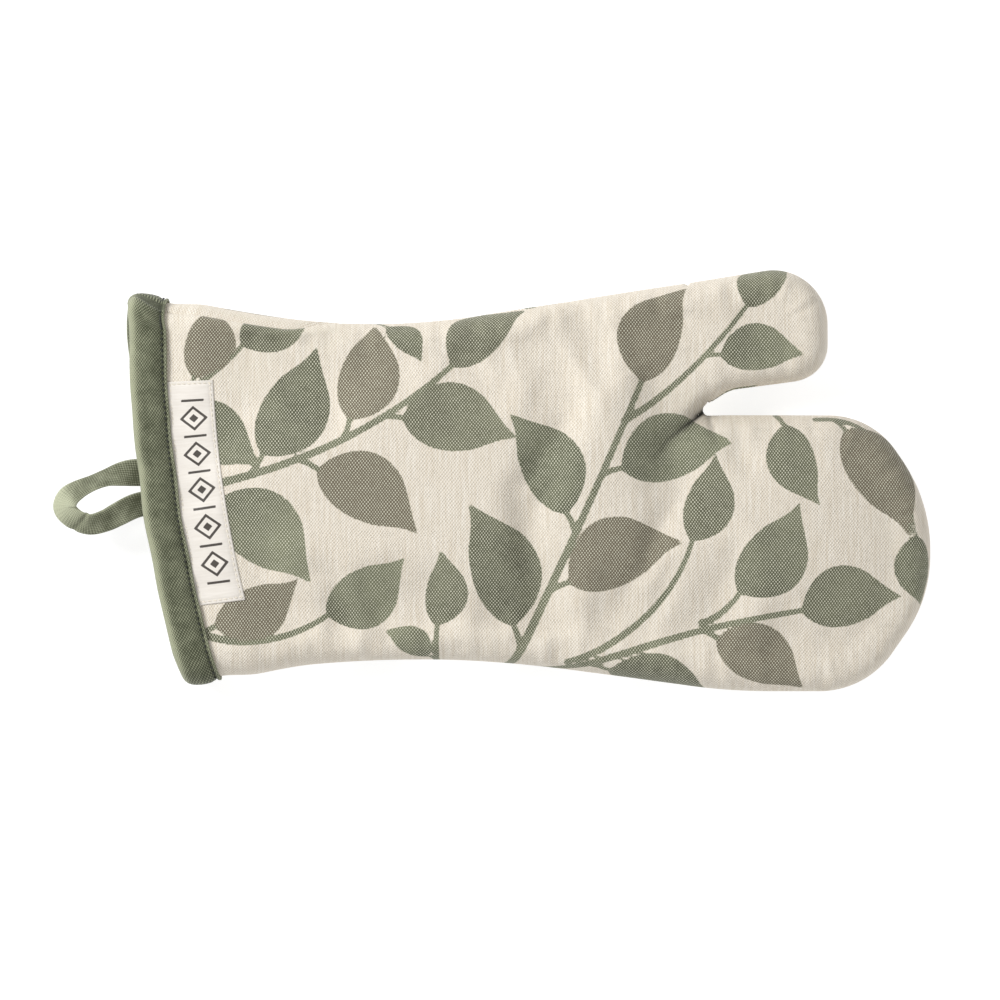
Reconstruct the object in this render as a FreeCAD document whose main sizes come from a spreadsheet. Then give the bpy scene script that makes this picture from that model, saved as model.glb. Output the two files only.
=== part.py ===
"""Oven mitt: a quilted cotton mitt with a bound cuff, a woven label and a hanging loop.

The mitt lies flat on its back panel.  +X points to the fingertips, +Y to the thumb side, +Z up,
and the origin is under the middle of the whole mitt, loop included, on the surface it lies on.

Every layer is a half of a closed "pillow": the mitt's outline moved inwards, raised to the
height left at that depth, with its upper and lower rims rounded over.  Two pillows of different
depth, one cut from the other, give a layer of even thickness.
"""

import FreeCAD, Part

import math
import os

Vector = FreeCAD.Vector
Z_AXIS = Vector(0, 0, 1)

# Driving dimensions in millimetres (angles in degrees): alias, value, meaning.
SIZES = [
    ("mitt_length", 322.0, "cuff edge to fingertips"),
    ("loop_reach", 30.8, "hanging loop beyond the cuff edge"),
    ("mitt_width", 169.6, "heel side to thumb side"),
    ("mitt_thickness", 28.0, "through both padded sides as it lies"),
    ("finger_length", 95.9, "crotch to fingertips"),
    ("finger_width", 111.2, "across the finger pocket"),
    ("thumb_length", 54.7, "crotch to thumb tip"),
    ("thumb_gap", 15.1, "between the thumb's tip and the fingers"),
    ("notch_gap", 10.0, "between thumb and fingers at the foot of the notch"),
    ("notch_length", 15.2, "depth of the slanting foot of the notch"),
    ("crotch_radius", 2.0, "rounding at the bottom of the notch"),
    ("notch_radius", 15.0, "rounding where the notch opens"),
    ("thumb_tip_radius", 22.0, "outer corner of the thumb"),
    ("thumb_inner_radius", 15.0, "inner corner of the thumb"),
    ("thumb_side_angle", 8.9, "slope of the thumb side from wrist to thumb"),
    ("cuff_flare_angle", 8.8, "slope of the thumb side from wrist to cuff"),
    ("heel_side_angle", 7.6, "slope of the heel side from wrist to fingers"),
    ("heel_flare_angle", 6.7, "slope of the heel side from wrist to cuff"),
    ("wrist_thumb_place", 97.7, "cuff edge to the wrist's waist, thumb side"),
    ("wrist_heel_place", 119.6, "cuff edge to the wrist's waist, heel side"),
    ("heel_flat_place", 241.5, "cuff edge to where the heel side levels out"),
    ("wrist_thumb_radius", 274.0, "waist curve on the thumb side"),
    ("wrist_heel_radius", 459.0, "waist curve on the heel side"),
    ("heel_radius", 250.0, "curve where the heel side levels out"),
    ("tip_slope", 55.0, "turn of each fingertip corner"),
    ("tip_corner_x", 23.8, "fingertips to the first corner, lengthwise"),
    ("tip_top_radius", 33.0, "first thumb-side fingertip curve"),
    ("tip_side_radius", 64.0, "second thumb-side fingertip curve"),
    ("heel_corner_x", 26.0, "fingertips to the last heel corner, lengthwise"),
    ("tip_heel_radius", 56.0, "second heel-side fingertip curve"),
    ("tip_bottom_radius", 36.0, "first heel-side fingertip curve"),
    ("cuff_radius", 490.0, "sweep of the cuff edge"),
    ("cuff_high_point", 63.4, "sideways place of the cuff edge's furthest point"),
    ("shell", 0.8, "printed cotton duck"),
    ("wadding", 4.8, "cotton wadding"),
    ("lining", 0.6, "lining cloth"),
    ("layer_gap", 0.2, "air between neighbouring layers"),
    ("rim_flat", 0.5, "upright part of each rim above or below the seam"),
    ("seam_allowance", 4.0, "inward turning of the shell at the side seam"),
    ("thread", 0.4, "sewing thread thickness"),
    ("seam_inset", 2.6, "edge to the side seam's thread"),
    ("binding_width", 15.0, "bias binding seen on each side of the cuff"),
    ("tape", 1.0, "folded bias binding thickness"),
    ("stitch_margin", 1.7, "binding edge to its topstitching"),
    ("stitch_pitch", 2.35, "topstitch spacing"),
    ("stitch_length", 1.7, "length of one topstitch"),
    ("stitch_groove", 0.3, "depth the topstitching pulls into the binding"),
    ("label_width", 18.2, "label, along the mitt"),
    ("label_length", 87.0, "label, across the mitt"),
    ("label_middle", -3.6, "sideways place of the label's middle"),
    ("label_thickness", 0.5, "folded satin label"),
    ("label_margin", 1.5, "label edge to its stitches"),
    ("label_pitch", 2.4, "label stitch spacing"),
    ("label_stitch", 1.5, "length of one label stitch"),
    ("loop_middle", -2.4, "sideways place of the loop's root"),
    ("loop_width", 24.0, "hanging loop, outside"),
    ("loop_tape", 8.5, "width of the loop's tape"),
    ("loop_thickness", 1.6, "folded loop tape"),
    ("loop_skew", 9.0, "the loop's lean towards the heel side"),
    ("loop_root", 12.0, "length of the loop's sewn ends"),
    ("hinge_gap", 0.2, "clearance at the thumb and finger folds"),
    ("loop_gap", 0.3, "clearance where the loop bends"),
    ("finger_fold_place", 17.5, "crotch to the finger fold"),
    ("thumb_axis_angle", 9.1, "the thumb's own direction"),
]

SHEET = "Sizes"


def make_sheet(doc):
    """Write the driving dimensions into the spreadsheet, one alias to a row."""
    sheet = doc.addObject("Spreadsheet::Sheet", SHEET)
    for row, (alias, value, meaning) in enumerate(SIZES, start=1):
        sheet.set(f"A{row}", meaning)
        sheet.set(f"B{row}", str(value))
        sheet.setAlias(f"B{row}", alias)
    doc.recompute()
    return sheet


def read_sizes(sheet):
    """Read the sheet back, and add the depths and places that follow from it."""
    size = {alias: float(sheet.get(alias)) for alias, _, _ in SIZES}
    half_length = (size["mitt_length"] + size["loop_reach"]) / 2
    size["half_length"] = half_length
    size["half_width"] = size["mitt_width"] / 2
    size["cuff_x"] = half_length - size["mitt_length"]
    size["crotch_x"] = half_length - size["finger_length"]
    size["finger_top"] = size["finger_width"] - size["half_width"]
    size["fold_x"] = size["crotch_x"] + size["finger_fold_place"]
    return size


def depth_formulas():
    """Depth of every pillow below the outer face, as formulas on the sheet."""
    cell = {alias: f"{SHEET}.{alias}" for alias, _, _ in SIZES}
    depth = {"outer": "0"}
    depth["shell_in"] = cell["shell"]
    depth["wadding_out"] = depth["shell_in"] + " + " + cell["layer_gap"]
    depth["wadding_in"] = depth["wadding_out"] + " + " + cell["wadding"]
    depth["lining_out"] = depth["wadding_in"] + " + " + cell["layer_gap"]
    depth["lining_in"] = depth["lining_out"] + " + " + cell["lining"]
    depth["groove"] = cell["stitch_groove"]
    depth["bound_tape"] = cell["tape"]
    depth["bound_shell_out"] = depth["bound_tape"] + " + " + cell["layer_gap"]
    depth["bound_shell_in"] = depth["bound_shell_out"] + " + " + cell["shell"]
    depth["bound_wadding_out"] = depth["bound_shell_in"] + " + " + cell["layer_gap"]
    depth["bound_inner_out"] = depth["lining_in"] + " + " + cell["layer_gap"]
    depth["bound_inner_in"] = depth["bound_inner_out"] + " + " + cell["tape"]
    return depth


# ---------------------------------------------------------------- outline


def turned(angle):
    """Unit vector at an angle in degrees from +X."""
    return Vector(math.cos(math.radians(angle)), math.sin(math.radians(angle)), 0)


def outline_corners(size):
    """Corners of the mitt's outline before rounding, each with its radius, clockwise from the cuff.

    The outline runs on past the cuff, which is cut afterwards.
    """
    half_width = size["half_width"]
    tip_x = size["half_length"]
    start_x = size["cuff_x"] - size["binding_width"] * 3
    thumb_rise = math.tan(math.radians(size["thumb_side_angle"]))
    cuff_rise = math.tan(math.radians(size["cuff_flare_angle"]))
    heel_rise = math.tan(math.radians(size["heel_side_angle"]))
    heel_flare = math.tan(math.radians(size["heel_flare_angle"]))
    tip_slope = math.tan(math.radians(size["tip_slope"]))

    # The thumb's outer corner is as far out as makes its rounding touch the full width.
    half_turn = math.radians((90 + size["thumb_side_angle"]) / 2)
    thumb_x = size["crotch_x"] + size["thumb_length"]
    thumb_y = half_width + size["thumb_tip_radius"] * (math.tan(half_turn) - 1)

    wrist_x = size["cuff_x"] + size["wrist_thumb_place"]
    wrist_y = thumb_y - (thumb_x - wrist_x) * thumb_rise
    heel_x = size["cuff_x"] + size["wrist_heel_place"]
    flat_x = size["cuff_x"] + size["heel_flat_place"]
    heel_y = (flat_x - heel_x) * heel_rise - half_width
    finger_top = size["finger_top"]
    notch_x = size["crotch_x"] + size["notch_length"]

    return [
        (Vector(start_x, wrist_y + (wrist_x - start_x) * cuff_rise, 0), 0),
        (Vector(wrist_x, wrist_y, 0), size["wrist_thumb_radius"]),
        (Vector(thumb_x, thumb_y, 0), size["thumb_tip_radius"]),
        (Vector(thumb_x, finger_top + size["thumb_gap"], 0), size["thumb_inner_radius"]),
        (Vector(notch_x, finger_top + size["notch_gap"], 0), size["notch_radius"]),
        (Vector(size["crotch_x"], finger_top, 0), size["crotch_radius"]),
        (Vector(tip_x - size["tip_corner_x"], finger_top, 0), size["tip_top_radius"]),
        (Vector(tip_x, finger_top - size["tip_corner_x"] * tip_slope, 0), size["tip_side_radius"]),
        (Vector(tip_x, size["heel_corner_x"] * tip_slope - half_width, 0), size["tip_heel_radius"]),
        (Vector(tip_x - size["heel_corner_x"], -half_width, 0), size["tip_bottom_radius"]),
        (Vector(flat_x, -half_width, 0), size["heel_radius"]),
        (Vector(heel_x, heel_y, 0), size["wrist_heel_radius"]),
        (Vector(start_x, heel_y - (heel_x - start_x) * heel_flare, 0), 0),
    ]


def corner_tangents(corners):
    """Length that each corner's rounding takes from the sides beside it.

    Where two neighbours want more than the side between them has, both give way in proportion.
    """
    points = [corner for corner, _ in corners]
    count = len(points)
    half_open = []
    wanted = []
    for index, (corner, radius) in enumerate(corners):
        inward = points[index - 1] - corner
        onward = points[(index + 1) % count] - corner
        half_open.append(inward.getAngle(onward) / 2)
        wanted.append(radius / math.tan(half_open[-1]))
    share = []
    for index in range(count):
        following = (index + 1) % count
        side = (points[following] - points[index]).Length
        share.append(min(1.0, 0.99 * side / max(wanted[index] + wanted[following], 1e-9)))
    tangents = [wanted[index] * min(share[index - 1], share[index]) for index in range(count)]
    return tangents, half_open


def round_corner(corners, index):
    """Tangent arc at one corner of the outline: its start, middle, end and centre."""
    tangents, half_open = corner_tangents(corners)
    corner = corners[index][0]
    inward = (corners[index - 1][0] - corner).normalize()
    onward = (corners[(index + 1) % len(corners)][0] - corner).normalize()
    tangent = tangents[index]
    radius = tangent * math.tan(half_open[index])
    bisector = (inward + onward).normalize()
    centre = corner + bisector * (radius / math.sin(half_open[index]))
    return corner + inward * tangent, centre - bisector * radius, corner + onward * tangent, centre


def outline_face(size):
    """The mitt's outline with every corner rounded, as a face on the resting plane."""
    corners = outline_corners(size)
    edges = []
    first = corners[0][0]
    last = first
    for index, (corner, radius) in enumerate(corners[1:], start=1):
        if radius:
            start, middle, end, _ = round_corner(corners, index)
            edges.append(Part.LineSegment(last, start).toShape())
            edges.append(Part.Arc(start, middle, end).toShape())
        else:
            end = corner
            edges.append(Part.LineSegment(last, end).toShape())
        last = end
    edges.append(Part.LineSegment(last, first).toShape())
    return Part.Face(Part.Wire(edges))


CROTCH_CORNER = 5  # place of the crotch in the outline's corners


def crotch_centre(size):
    """Centre of the crotch's rounding, where the thumb's fold line starts."""
    return round_corner(outline_corners(size), CROTCH_CORNER)[3]


# ---------------------------------------------------------------- document helpers


def feature(doc, kind, name, formulas=None, **properties):
    """Add a feature, set its plain properties and bind the rest to formulas on the sheet."""
    made = doc.addObject(kind, name)
    for key, value in properties.items():
        setattr(made, key, value)
    for key, formula in (formulas or {}).items():
        made.setExpression(key, formula)
    return made


def cut(doc, name, base, tool):
    """base with tool taken away."""
    return feature(doc, "Part::Cut", name, Base=base, Tool=tool)


def common(doc, name, base, tool):
    """The part of base that lies in tool."""
    return feature(doc, "Part::Common", name, Base=base, Tool=tool)


def moved_in(doc, name, outline, inset):
    """The outline moved inwards by a formula."""
    if inset == "0":
        return outline
    return feature(doc, "Part::Offset2D", name + "_line", {"Value": f"-({inset})"}, Source=outline, Join=2)


def rim_edges(solid):
    """Numbers of the edges round a slab's flat upper and lower faces."""
    low, high = solid.BoundBox.ZMin, solid.BoundBox.ZMax
    picked = []
    for number, edge in enumerate(solid.Edges, start=1):
        box = edge.BoundBox
        flat = box.ZMax - box.ZMin < 1e-6
        if flat and (abs(box.ZMin - low) < 1e-6 or abs(box.ZMax - high) < 1e-6):
            picked.append(number)
    return picked


def pillow(doc, name, outline, inset, size):
    """The mitt's closed form at one depth below its outer face."""
    slab = feature(
        doc,
        "Part::Extrusion",
        name + "_slab",
        {"LengthFwd": f"{SHEET}.mitt_thickness - 2 * ({inset})", "Placement.Base.z": inset},
        Base=moved_in(doc, name, outline, inset),
        DirMode="Custom",
        Dir=Z_AXIS,
        Solid=True,
    )
    doc.recompute()
    half_height = slab.LengthFwd.Value / 2
    radius = half_height - size["rim_flat"]
    rounded = feature(doc, "Part::Fillet", name, Base=slab)
    rounded.Edges = [(number, radius, radius) for number in rim_edges(slab.Shape)]
    doc.recompute()
    return rounded


def ring(doc, name, outline, outer_inset, inner_inset, low, tall):
    """A flat ring that follows the outline between two depths, from height low, tall high."""
    heights = {"LengthFwd": tall, "Placement.Base.z": low}
    slabs = []
    for suffix, inset in (("_out", outer_inset), ("_in", inner_inset)):
        slab = feature(doc, "Part::Extrusion", name + suffix, heights, DirMode="Custom", Dir=Z_AXIS)
        slab.Base = moved_in(doc, name + suffix, outline, inset)
        slab.Solid = True
        slabs.append(slab)
    return cut(doc, name, slabs[0], slabs[1])


def cuff_disc(doc, name, back_off):
    """Everything on the mitt's side of the cuff edge, the edge moved in by a formula."""
    return feature(
        doc,
        "Part::Cylinder",
        name,
        {
            "Radius": f"{SHEET}.cuff_radius - ({back_off})",
            "Height": f"{SHEET}.mitt_thickness * 3",
            "Placement.Base.x": (
                f"{SHEET}.cuff_radius + ({SHEET}.loop_reach - {SHEET}.mitt_length) / 2"
            ),
            "Placement.Base.y": f"{SHEET}.cuff_high_point",
            "Placement.Base.z": f"-{SHEET}.mitt_thickness",
        },
    )


def cuff_block(doc, name, back_off):
    """The bound strip and all beyond it: what lies past a cuff edge moved in by a formula."""
    block = feature(
        doc,
        "Part::Box",
        name + "_box",
        {
            "Length": f"{SHEET}.mitt_length / 2",
            "Width": f"{SHEET}.mitt_width * 2",
            "Height": f"{SHEET}.mitt_thickness * 2",
            "Placement.Base.x": (
                f"-({SHEET}.mitt_length / 2 + {SHEET}.loop_reach + 3 * {SHEET}.binding_width)"
            ),
            "Placement.Base.y": f"-{SHEET}.mitt_width",
            "Placement.Base.z": f"-{SHEET}.mitt_thickness / 2",
        },
    )
    return cut(doc, name, block, cuff_disc(doc, name + "_disc", back_off))


# ---------------------------------------------------------------- layers


def shell_layer(doc, outline, pillows, stack):
    """Printed cotton duck, stepped down under the binding, with its seam allowances."""
    strip = cuff_block(doc, "shell_strip", f"{SHEET}.binding_width + {SHEET}.layer_gap")
    step = cut(doc, "shell_step", strip, pillows["bound_shell_out"])
    blank = cut(doc, "shell_blank", pillows["outer"], step)
    inner_strip = cuff_block(
        doc, "shell_inner_strip", f"{SHEET}.binding_width + {SHEET}.layer_gap + {SHEET}.shell"
    )
    inner_step = cut(doc, "shell_inner_step", inner_strip, pillows["bound_shell_in"])
    core = cut(doc, "shell_core", pillows["shell_in"], inner_step)
    allowance = ring(
        doc,
        "allowance",
        outline,
        "0",
        f"{SHEET}.shell + {SHEET}.seam_allowance",
        f"{SHEET}.mitt_thickness / 2 - {SHEET}.shell",
        f"2 * {SHEET}.shell",
    )
    hollow = cut(doc, "shell_hollow", core, allowance)
    return common(doc, "shell_layer", cut(doc, "shell_skin", blank, hollow), stack)


def wadding_layer(doc, pillows, stack):
    """Wadding, pressed thinner under the binding, open at the side seam for the allowances."""
    strip = cuff_block(
        doc,
        "wadding_strip",
        f"{SHEET}.binding_width + 2 * {SHEET}.layer_gap + {SHEET}.shell",
    )
    step = cut(doc, "wadding_step", strip, pillows["bound_wadding_out"])
    blank = cut(doc, "wadding_blank", pillows["wadding_out"], step)
    slot_half = f"({SHEET}.shell + {SHEET}.thread + {SHEET}.layer_gap)"
    slot = feature(
        doc,
        "Part::Box",
        "seam_slot",
        {
            "Length": f"{SHEET}.mitt_length * 2",
            "Width": f"{SHEET}.mitt_width * 2",
            "Height": f"2 * {slot_half}",
            "Placement.Base.x": f"-{SHEET}.mitt_length",
            "Placement.Base.y": f"-{SHEET}.mitt_width",
            "Placement.Base.z": f"{SHEET}.mitt_thickness / 2 - {slot_half}",
        },
    )
    body = cut(doc, "wadding_body", cut(doc, "wadding_skin", blank, pillows["wadding_in"]), slot)
    return common(doc, "wadding_layer", body, stack)


def lining_layer(doc, pillows, stack):
    """Lining cloth, the wall of the hollow that the hand goes into."""
    skin = cut(doc, "lining_skin", pillows["lining_out"], pillows["lining_in"])
    return common(doc, "lining_layer", skin, stack)


def shell_seam_thread(doc, outline, stack):
    """Needle and bobbin threads of the side seam, lying on the two allowances."""
    inset = f"{SHEET}.seam_inset"
    inner = f"{SHEET}.seam_inset + {SHEET}.thread"
    middle = f"{SHEET}.mitt_thickness / 2"
    upper = ring(
        doc, "needle_thread", outline, inset, inner, f"{middle} + {SHEET}.shell", f"{SHEET}.thread"
    )
    lower = ring(
        doc,
        "bobbin_thread",
        outline,
        inset,
        inner,
        f"{middle} - {SHEET}.shell - {SHEET}.thread",
        f"{SHEET}.thread",
    )
    both = feature(doc, "Part::Compound", "side_seam_threads", Links=[upper, lower])
    return common(doc, "shell_seam_thread", both, stack)


def lining_seam_thread(doc, outline, depth, stack):
    """Thread that closes the lining, lying against its outside at the seam."""
    thread = ring(
        doc,
        "lining_thread",
        outline,
        f"{depth['lining_out']} - {SHEET}.thread",
        depth["lining_out"],
        f"({SHEET}.mitt_thickness - {SHEET}.thread) / 2",
        f"{SHEET}.thread",
    )
    return common(doc, "lining_seam_thread", thread, stack)


# ---------------------------------------------------------------- regions of the mitt


def side_box(doc, name, upper):
    """The half of space above or below the side seam."""
    base = f"{SHEET}.mitt_thickness / 2" if upper else f"-{SHEET}.mitt_thickness / 2"
    return feature(
        doc,
        "Part::Box",
        name,
        {
            "Length": f"{SHEET}.mitt_length * 2",
            "Width": f"{SHEET}.mitt_width * 2",
            "Height": f"{SHEET}.mitt_thickness",
            "Placement.Base.x": f"-{SHEET}.mitt_length",
            "Placement.Base.y": f"-{SHEET}.mitt_width",
            "Placement.Base.z": base,
        },
    )


def thumb_box(doc, name, size, clearance):
    """Everything past the thumb's fold line, less a clearance."""
    box = feature(
        doc,
        "Part::Box",
        name,
        {
            "Length": f"{SHEET}.mitt_length",
            "Width": f"{SHEET}.mitt_width",
            "Height": f"{SHEET}.mitt_thickness * 2",
        },
    )
    along = turned(size["thumb_axis_angle"])
    corner = crotch_centre(size) - along * clearance
    corner.z = -size["mitt_thickness"] / 2
    box.Placement = FreeCAD.Placement(corner, FreeCAD.Rotation(Z_AXIS, size["thumb_axis_angle"]))
    return box


def finger_box(doc, name, size, clearance):
    """Everything past the finger fold on the fingers' side of the notch, less a clearance."""
    box = feature(
        doc,
        "Part::Box",
        name,
        {
            "Length": f"{SHEET}.finger_length * 2",
            "Width": f"{SHEET}.finger_width * 2",
            "Height": f"{SHEET}.mitt_thickness * 2",
        },
    )
    notch_middle = size["finger_top"] + size["notch_gap"] / 2
    corner = Vector(
        size["fold_x"] - clearance, notch_middle - 2 * size["finger_width"], -size["mitt_thickness"] / 2
    )
    box.Placement = FreeCAD.Placement(corner, FreeCAD.Rotation())
    return box


def region_parts(doc, layer, name, regions):
    """A layer's hand, thumb and finger stretches as three sub-parts."""
    parts = []
    rest = cut(doc, f"{name}_less_thumb", layer, regions["thumb_room"])
    parts.append((f"hand_{name}", cut(doc, f"hand_{name}", rest, regions["finger_room"])))
    parts.append((f"thumb_{name}", common(doc, f"thumb_{name}", layer, regions["thumb"])))
    parts.append((f"finger_{name}", common(doc, f"finger_{name}", layer, regions["finger"])))
    return parts


# ---------------------------------------------------------------- cuff


def stitch_ring(doc, name, inset, narrower):
    """The band of the topstitching, between two cuff-edge sweeps."""
    margin = f"{SHEET}.binding_width - {SHEET}.stitch_margin"
    far = cuff_disc(doc, name + "_far", f"{margin} - {SHEET}.thread + {narrower}")
    near = cuff_disc(doc, name + "_near", f"{margin} + {SHEET}.thread - {narrower}")
    return cut(doc, name, cut(doc, name + "_band", far, near), inset)


def cuff_binding(doc, pillows, edge):
    """Bias binding folded over the raw edges, with the groove its topstitching pulls in."""
    strip = cuff_block(doc, "binding_strip", f"{SHEET}.binding_width")
    wall = cut(doc, "binding_wall", pillows["outer"], pillows["bound_inner_in"])
    band = common(doc, "binding_band", common(doc, "binding_run", wall, strip), edge)
    folded = cut(doc, "fold_room", pillows["bound_tape"], pillows["bound_inner_out"])
    room = common(doc, "stack_room", folded, cuff_disc(doc, "fold_disc", f"{SHEET}.tape"))
    groove = stitch_ring(doc, "stitch_groove", pillows["groove"], "0")
    return cut(doc, "cuff_binding", cut(doc, "binding_fold", band, room), groove)


def cuff_point(size, radius, across):
    """Place on a sweep round the cuff's centre, at a sideways distance from its high point."""
    centre = Vector(size["cuff_x"] + size["cuff_radius"], size["cuff_high_point"], 0)
    angle = across / size["cuff_radius"]
    return centre - Vector(math.cos(angle), -math.sin(angle), 0) * radius, angle


def binding_topstitch(doc, pillows, size):
    """Topstitches in the binding's groove, all the way round the cuff."""
    skin = cut(doc, "stitch_skin", pillows["outer"], pillows["groove"])
    band = stitch_ring(doc, "stitch_band", pillows["bound_tape"], f"{SHEET}.thread / 4")
    line = common(doc, "stitch_line", skin, band)
    combs = []
    radius = size["cuff_radius"] - size["binding_width"] + size["stitch_margin"]
    count = int(size["mitt_width"] * 1.3 / size["stitch_pitch"])
    for index in range(count):
        across = size["mitt_width"] * 0.35 - index * size["stitch_pitch"]
        place, angle = cuff_point(size, radius, across)
        depth = 2 * size["stitch_margin"]
        tooth = Part.makeBox(depth, size["stitch_length"], size["mitt_thickness"] * 2)
        tooth.translate(Vector(-depth / 2, -size["stitch_length"] / 2, -size["mitt_thickness"] / 2))
        tooth.rotate(Vector(), Z_AXIS, -math.degrees(angle))
        tooth.translate(place)
        combs.append(tooth)
    comb = feature(doc, "Part::Feature", "stitch_comb", Shape=Part.makeCompound(combs))
    return common(doc, "binding_topstitch", line, comb)


def woven_label(doc):
    """Satin label against the binding, its long sides following the cuff's sweep."""
    near = f"{SHEET}.binding_width + {SHEET}.layer_gap"
    band = cut(
        doc,
        "label_band",
        cuff_disc(doc, "label_far", near),
        cuff_disc(doc, "label_near", f"{near} + {SHEET}.label_width"),
    )
    block = feature(
        doc,
        "Part::Box",
        "label_block",
        {
            "Length": f"{SHEET}.mitt_length / 2",
            "Width": f"{SHEET}.label_length",
            "Height": f"{SHEET}.label_thickness",
            "Placement.Base.x": f"-{SHEET}.mitt_length / 2",
            "Placement.Base.y": f"{SHEET}.label_middle - {SHEET}.label_length / 2",
            "Placement.Base.z": f"{SHEET}.mitt_thickness",
        },
    )
    return common(doc, "woven_label", band, block)


def label_stitches(doc, size):
    """Stitches round the label: a row along each sweep and one across each end."""
    outer = size["cuff_radius"] - size["binding_width"] - size["layer_gap"] - size["label_margin"]
    inner = outer - size["label_width"] + 2 * size["label_margin"]
    reach = size["label_length"] / 2 - size["label_margin"]
    low = size["mitt_thickness"] + size["label_thickness"]
    stitches = []

    def stitch(place, angle, lengthwise):
        """One stitch lying on the label at a place, along or across the sweep."""
        long_side, short_side = size["label_stitch"], size["thread"]
        across, along = (short_side, long_side) if lengthwise else (long_side, short_side)
        made = Part.makeBox(across, along, size["thread"] / 2)
        made.translate(Vector(-across / 2, -along / 2, 0))
        made.rotate(Vector(), Z_AXIS, -math.degrees(angle))
        made.translate(Vector(place.x, place.y, low))
        stitches.append(made)

    rows = int(2 * reach / size["label_pitch"])
    middle = size["label_middle"] - size["cuff_high_point"]
    for radius in (outer, inner):
        for index in range(rows + 1):
            across = middle + reach - index * 2 * reach / rows
            stitch(*cuff_point(size, radius, across * size["cuff_radius"] / radius), True)
    columns = int((outer - inner) / size["label_pitch"])
    for end in (-1, 1):
        for index in range(1, columns):
            radius = inner + (outer - inner) * index / columns
            across = middle + end * reach
            stitch(*cuff_point(size, radius, across * size["cuff_radius"] / radius), False)
    return feature(doc, "Part::Feature", "label_stitches", Shape=Part.makeCompound(stitches))


# ---------------------------------------------------------------- hanging loop


def loop_frame(size):
    """Place and direction of the loop's bend line: just outside the cuff edge, inside the front."""
    bend = size["cuff_radius"] + size["loop_thickness"] / 2 + size["loop_gap"]
    place, angle = cuff_point(size, bend, size["loop_middle"] - size["cuff_high_point"])
    inner_depth = (
        size["shell"] + size["wadding"] + size["lining"] + 3 * size["layer_gap"] + size["tape"]
    )
    top = size["mitt_thickness"] - inner_depth - size["layer_gap"]
    place.z = top - size["loop_thickness"] / 2
    return place, 180 - math.degrees(angle)


def loop_reach(size):
    """Length of the loop from its bend line that ends it at the mitt's full length."""
    place, heading = loop_frame(size)
    lean = math.radians(heading + size["loop_skew"])
    end_radius = size["loop_width"] / 2
    return (place.x + size["half_length"] - end_radius) / -math.cos(lean) + end_radius


def flat_slot(length_to_end, width, start, tall):
    """A plate along +X from start, its far end a half circle, centred in height."""
    radius = width / 2
    straight = Part.makeBox(length_to_end - radius - start, width, tall)
    straight.translate(Vector(start, -radius, -tall / 2))
    end = Part.makeCylinder(radius, tall, Vector(length_to_end - radius, 0, -tall / 2))
    return straight.fuse(end)


def hanging_loop(doc, size):
    """The free part of the loop: a flat turn of tape round its eye, rounded at the bend line."""
    place, heading = loop_frame(size)
    length = loop_reach(size)
    tall = size["loop_thickness"]
    width = size["loop_width"]
    plate = flat_slot(length, width, -width, tall)
    eye_width = width - 2 * size["loop_tape"]
    eye_start = size["loop_tape"] / 2
    eye = flat_slot(length - size["loop_tape"], eye_width, eye_start + eye_width / 2, 2 * tall)
    eye = eye.fuse(Part.makeCylinder(eye_width / 2, 2 * tall, Vector(eye_start + eye_width / 2, 0, -tall)))
    plate = plate.cut(eye)
    plate.rotate(Vector(), Z_AXIS, size["loop_skew"])
    keep = Part.makeBox(2 * length, 4 * width, 2 * tall, Vector(0, -2 * width, -tall))
    roll = Part.makeCylinder(tall / 2, width, Vector(0, -width / 2, 0), Vector(0, 1, 0))
    shape = plate.common(keep).fuse(roll).removeSplitter()
    made = feature(doc, "Part::Feature", "hanging_loop", Shape=shape)
    made.Placement = FreeCAD.Placement(place, FreeCAD.Rotation(Z_AXIS, heading))
    return made


def loop_ends(doc, size):
    """The two ends of the loop's tape, sewn flat inside the front of the cuff."""
    place, heading = loop_frame(size)
    bend = size["loop_thickness"] / 2 + size["loop_gap"]
    root, tape, tall = size["loop_root"], size["loop_tape"], size["loop_thickness"]
    ends = []
    for side in (-1, 1):
        middle = side * (size["loop_width"] - tape) / 2
        corner = Vector(-bend - root, middle - tape / 2, -tall / 2)
        ends.append(Part.makeBox(root, tape, tall, corner))
    made = feature(doc, "Part::Feature", "loop_ends", Shape=Part.makeCompound(ends))
    made.Placement = FreeCAD.Placement(place, FreeCAD.Rotation(Z_AXIS, heading))
    return made


def loop_bar_tacks(doc, size):
    """Dense bars of stitching across the loop's two sewn ends."""
    place, heading = loop_frame(size)
    bend = size["loop_thickness"] / 2 + size["loop_gap"]
    bar = 4 * size["thread"]
    bars = []
    for side in (-1, 1):
        middle = side * (size["loop_width"] - size["loop_tape"]) / 2
        for along in (bar, size["loop_root"] - 2 * bar):
            corner = Vector(
                -bend - along - bar,
                middle - size["loop_tape"] / 2 + size["thread"],
                -size["loop_thickness"] / 2 - size["thread"],
            )
            bars.append(Part.makeBox(bar, size["loop_tape"] - 2 * size["thread"], size["thread"], corner))
    made = feature(doc, "Part::Feature", "loop_bar_tacks", Shape=Part.makeCompound(bars))
    made.Placement = FreeCAD.Placement(place, FreeCAD.Rotation(Z_AXIS, heading))
    return made


# ---------------------------------------------------------------- whole mitt


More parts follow.
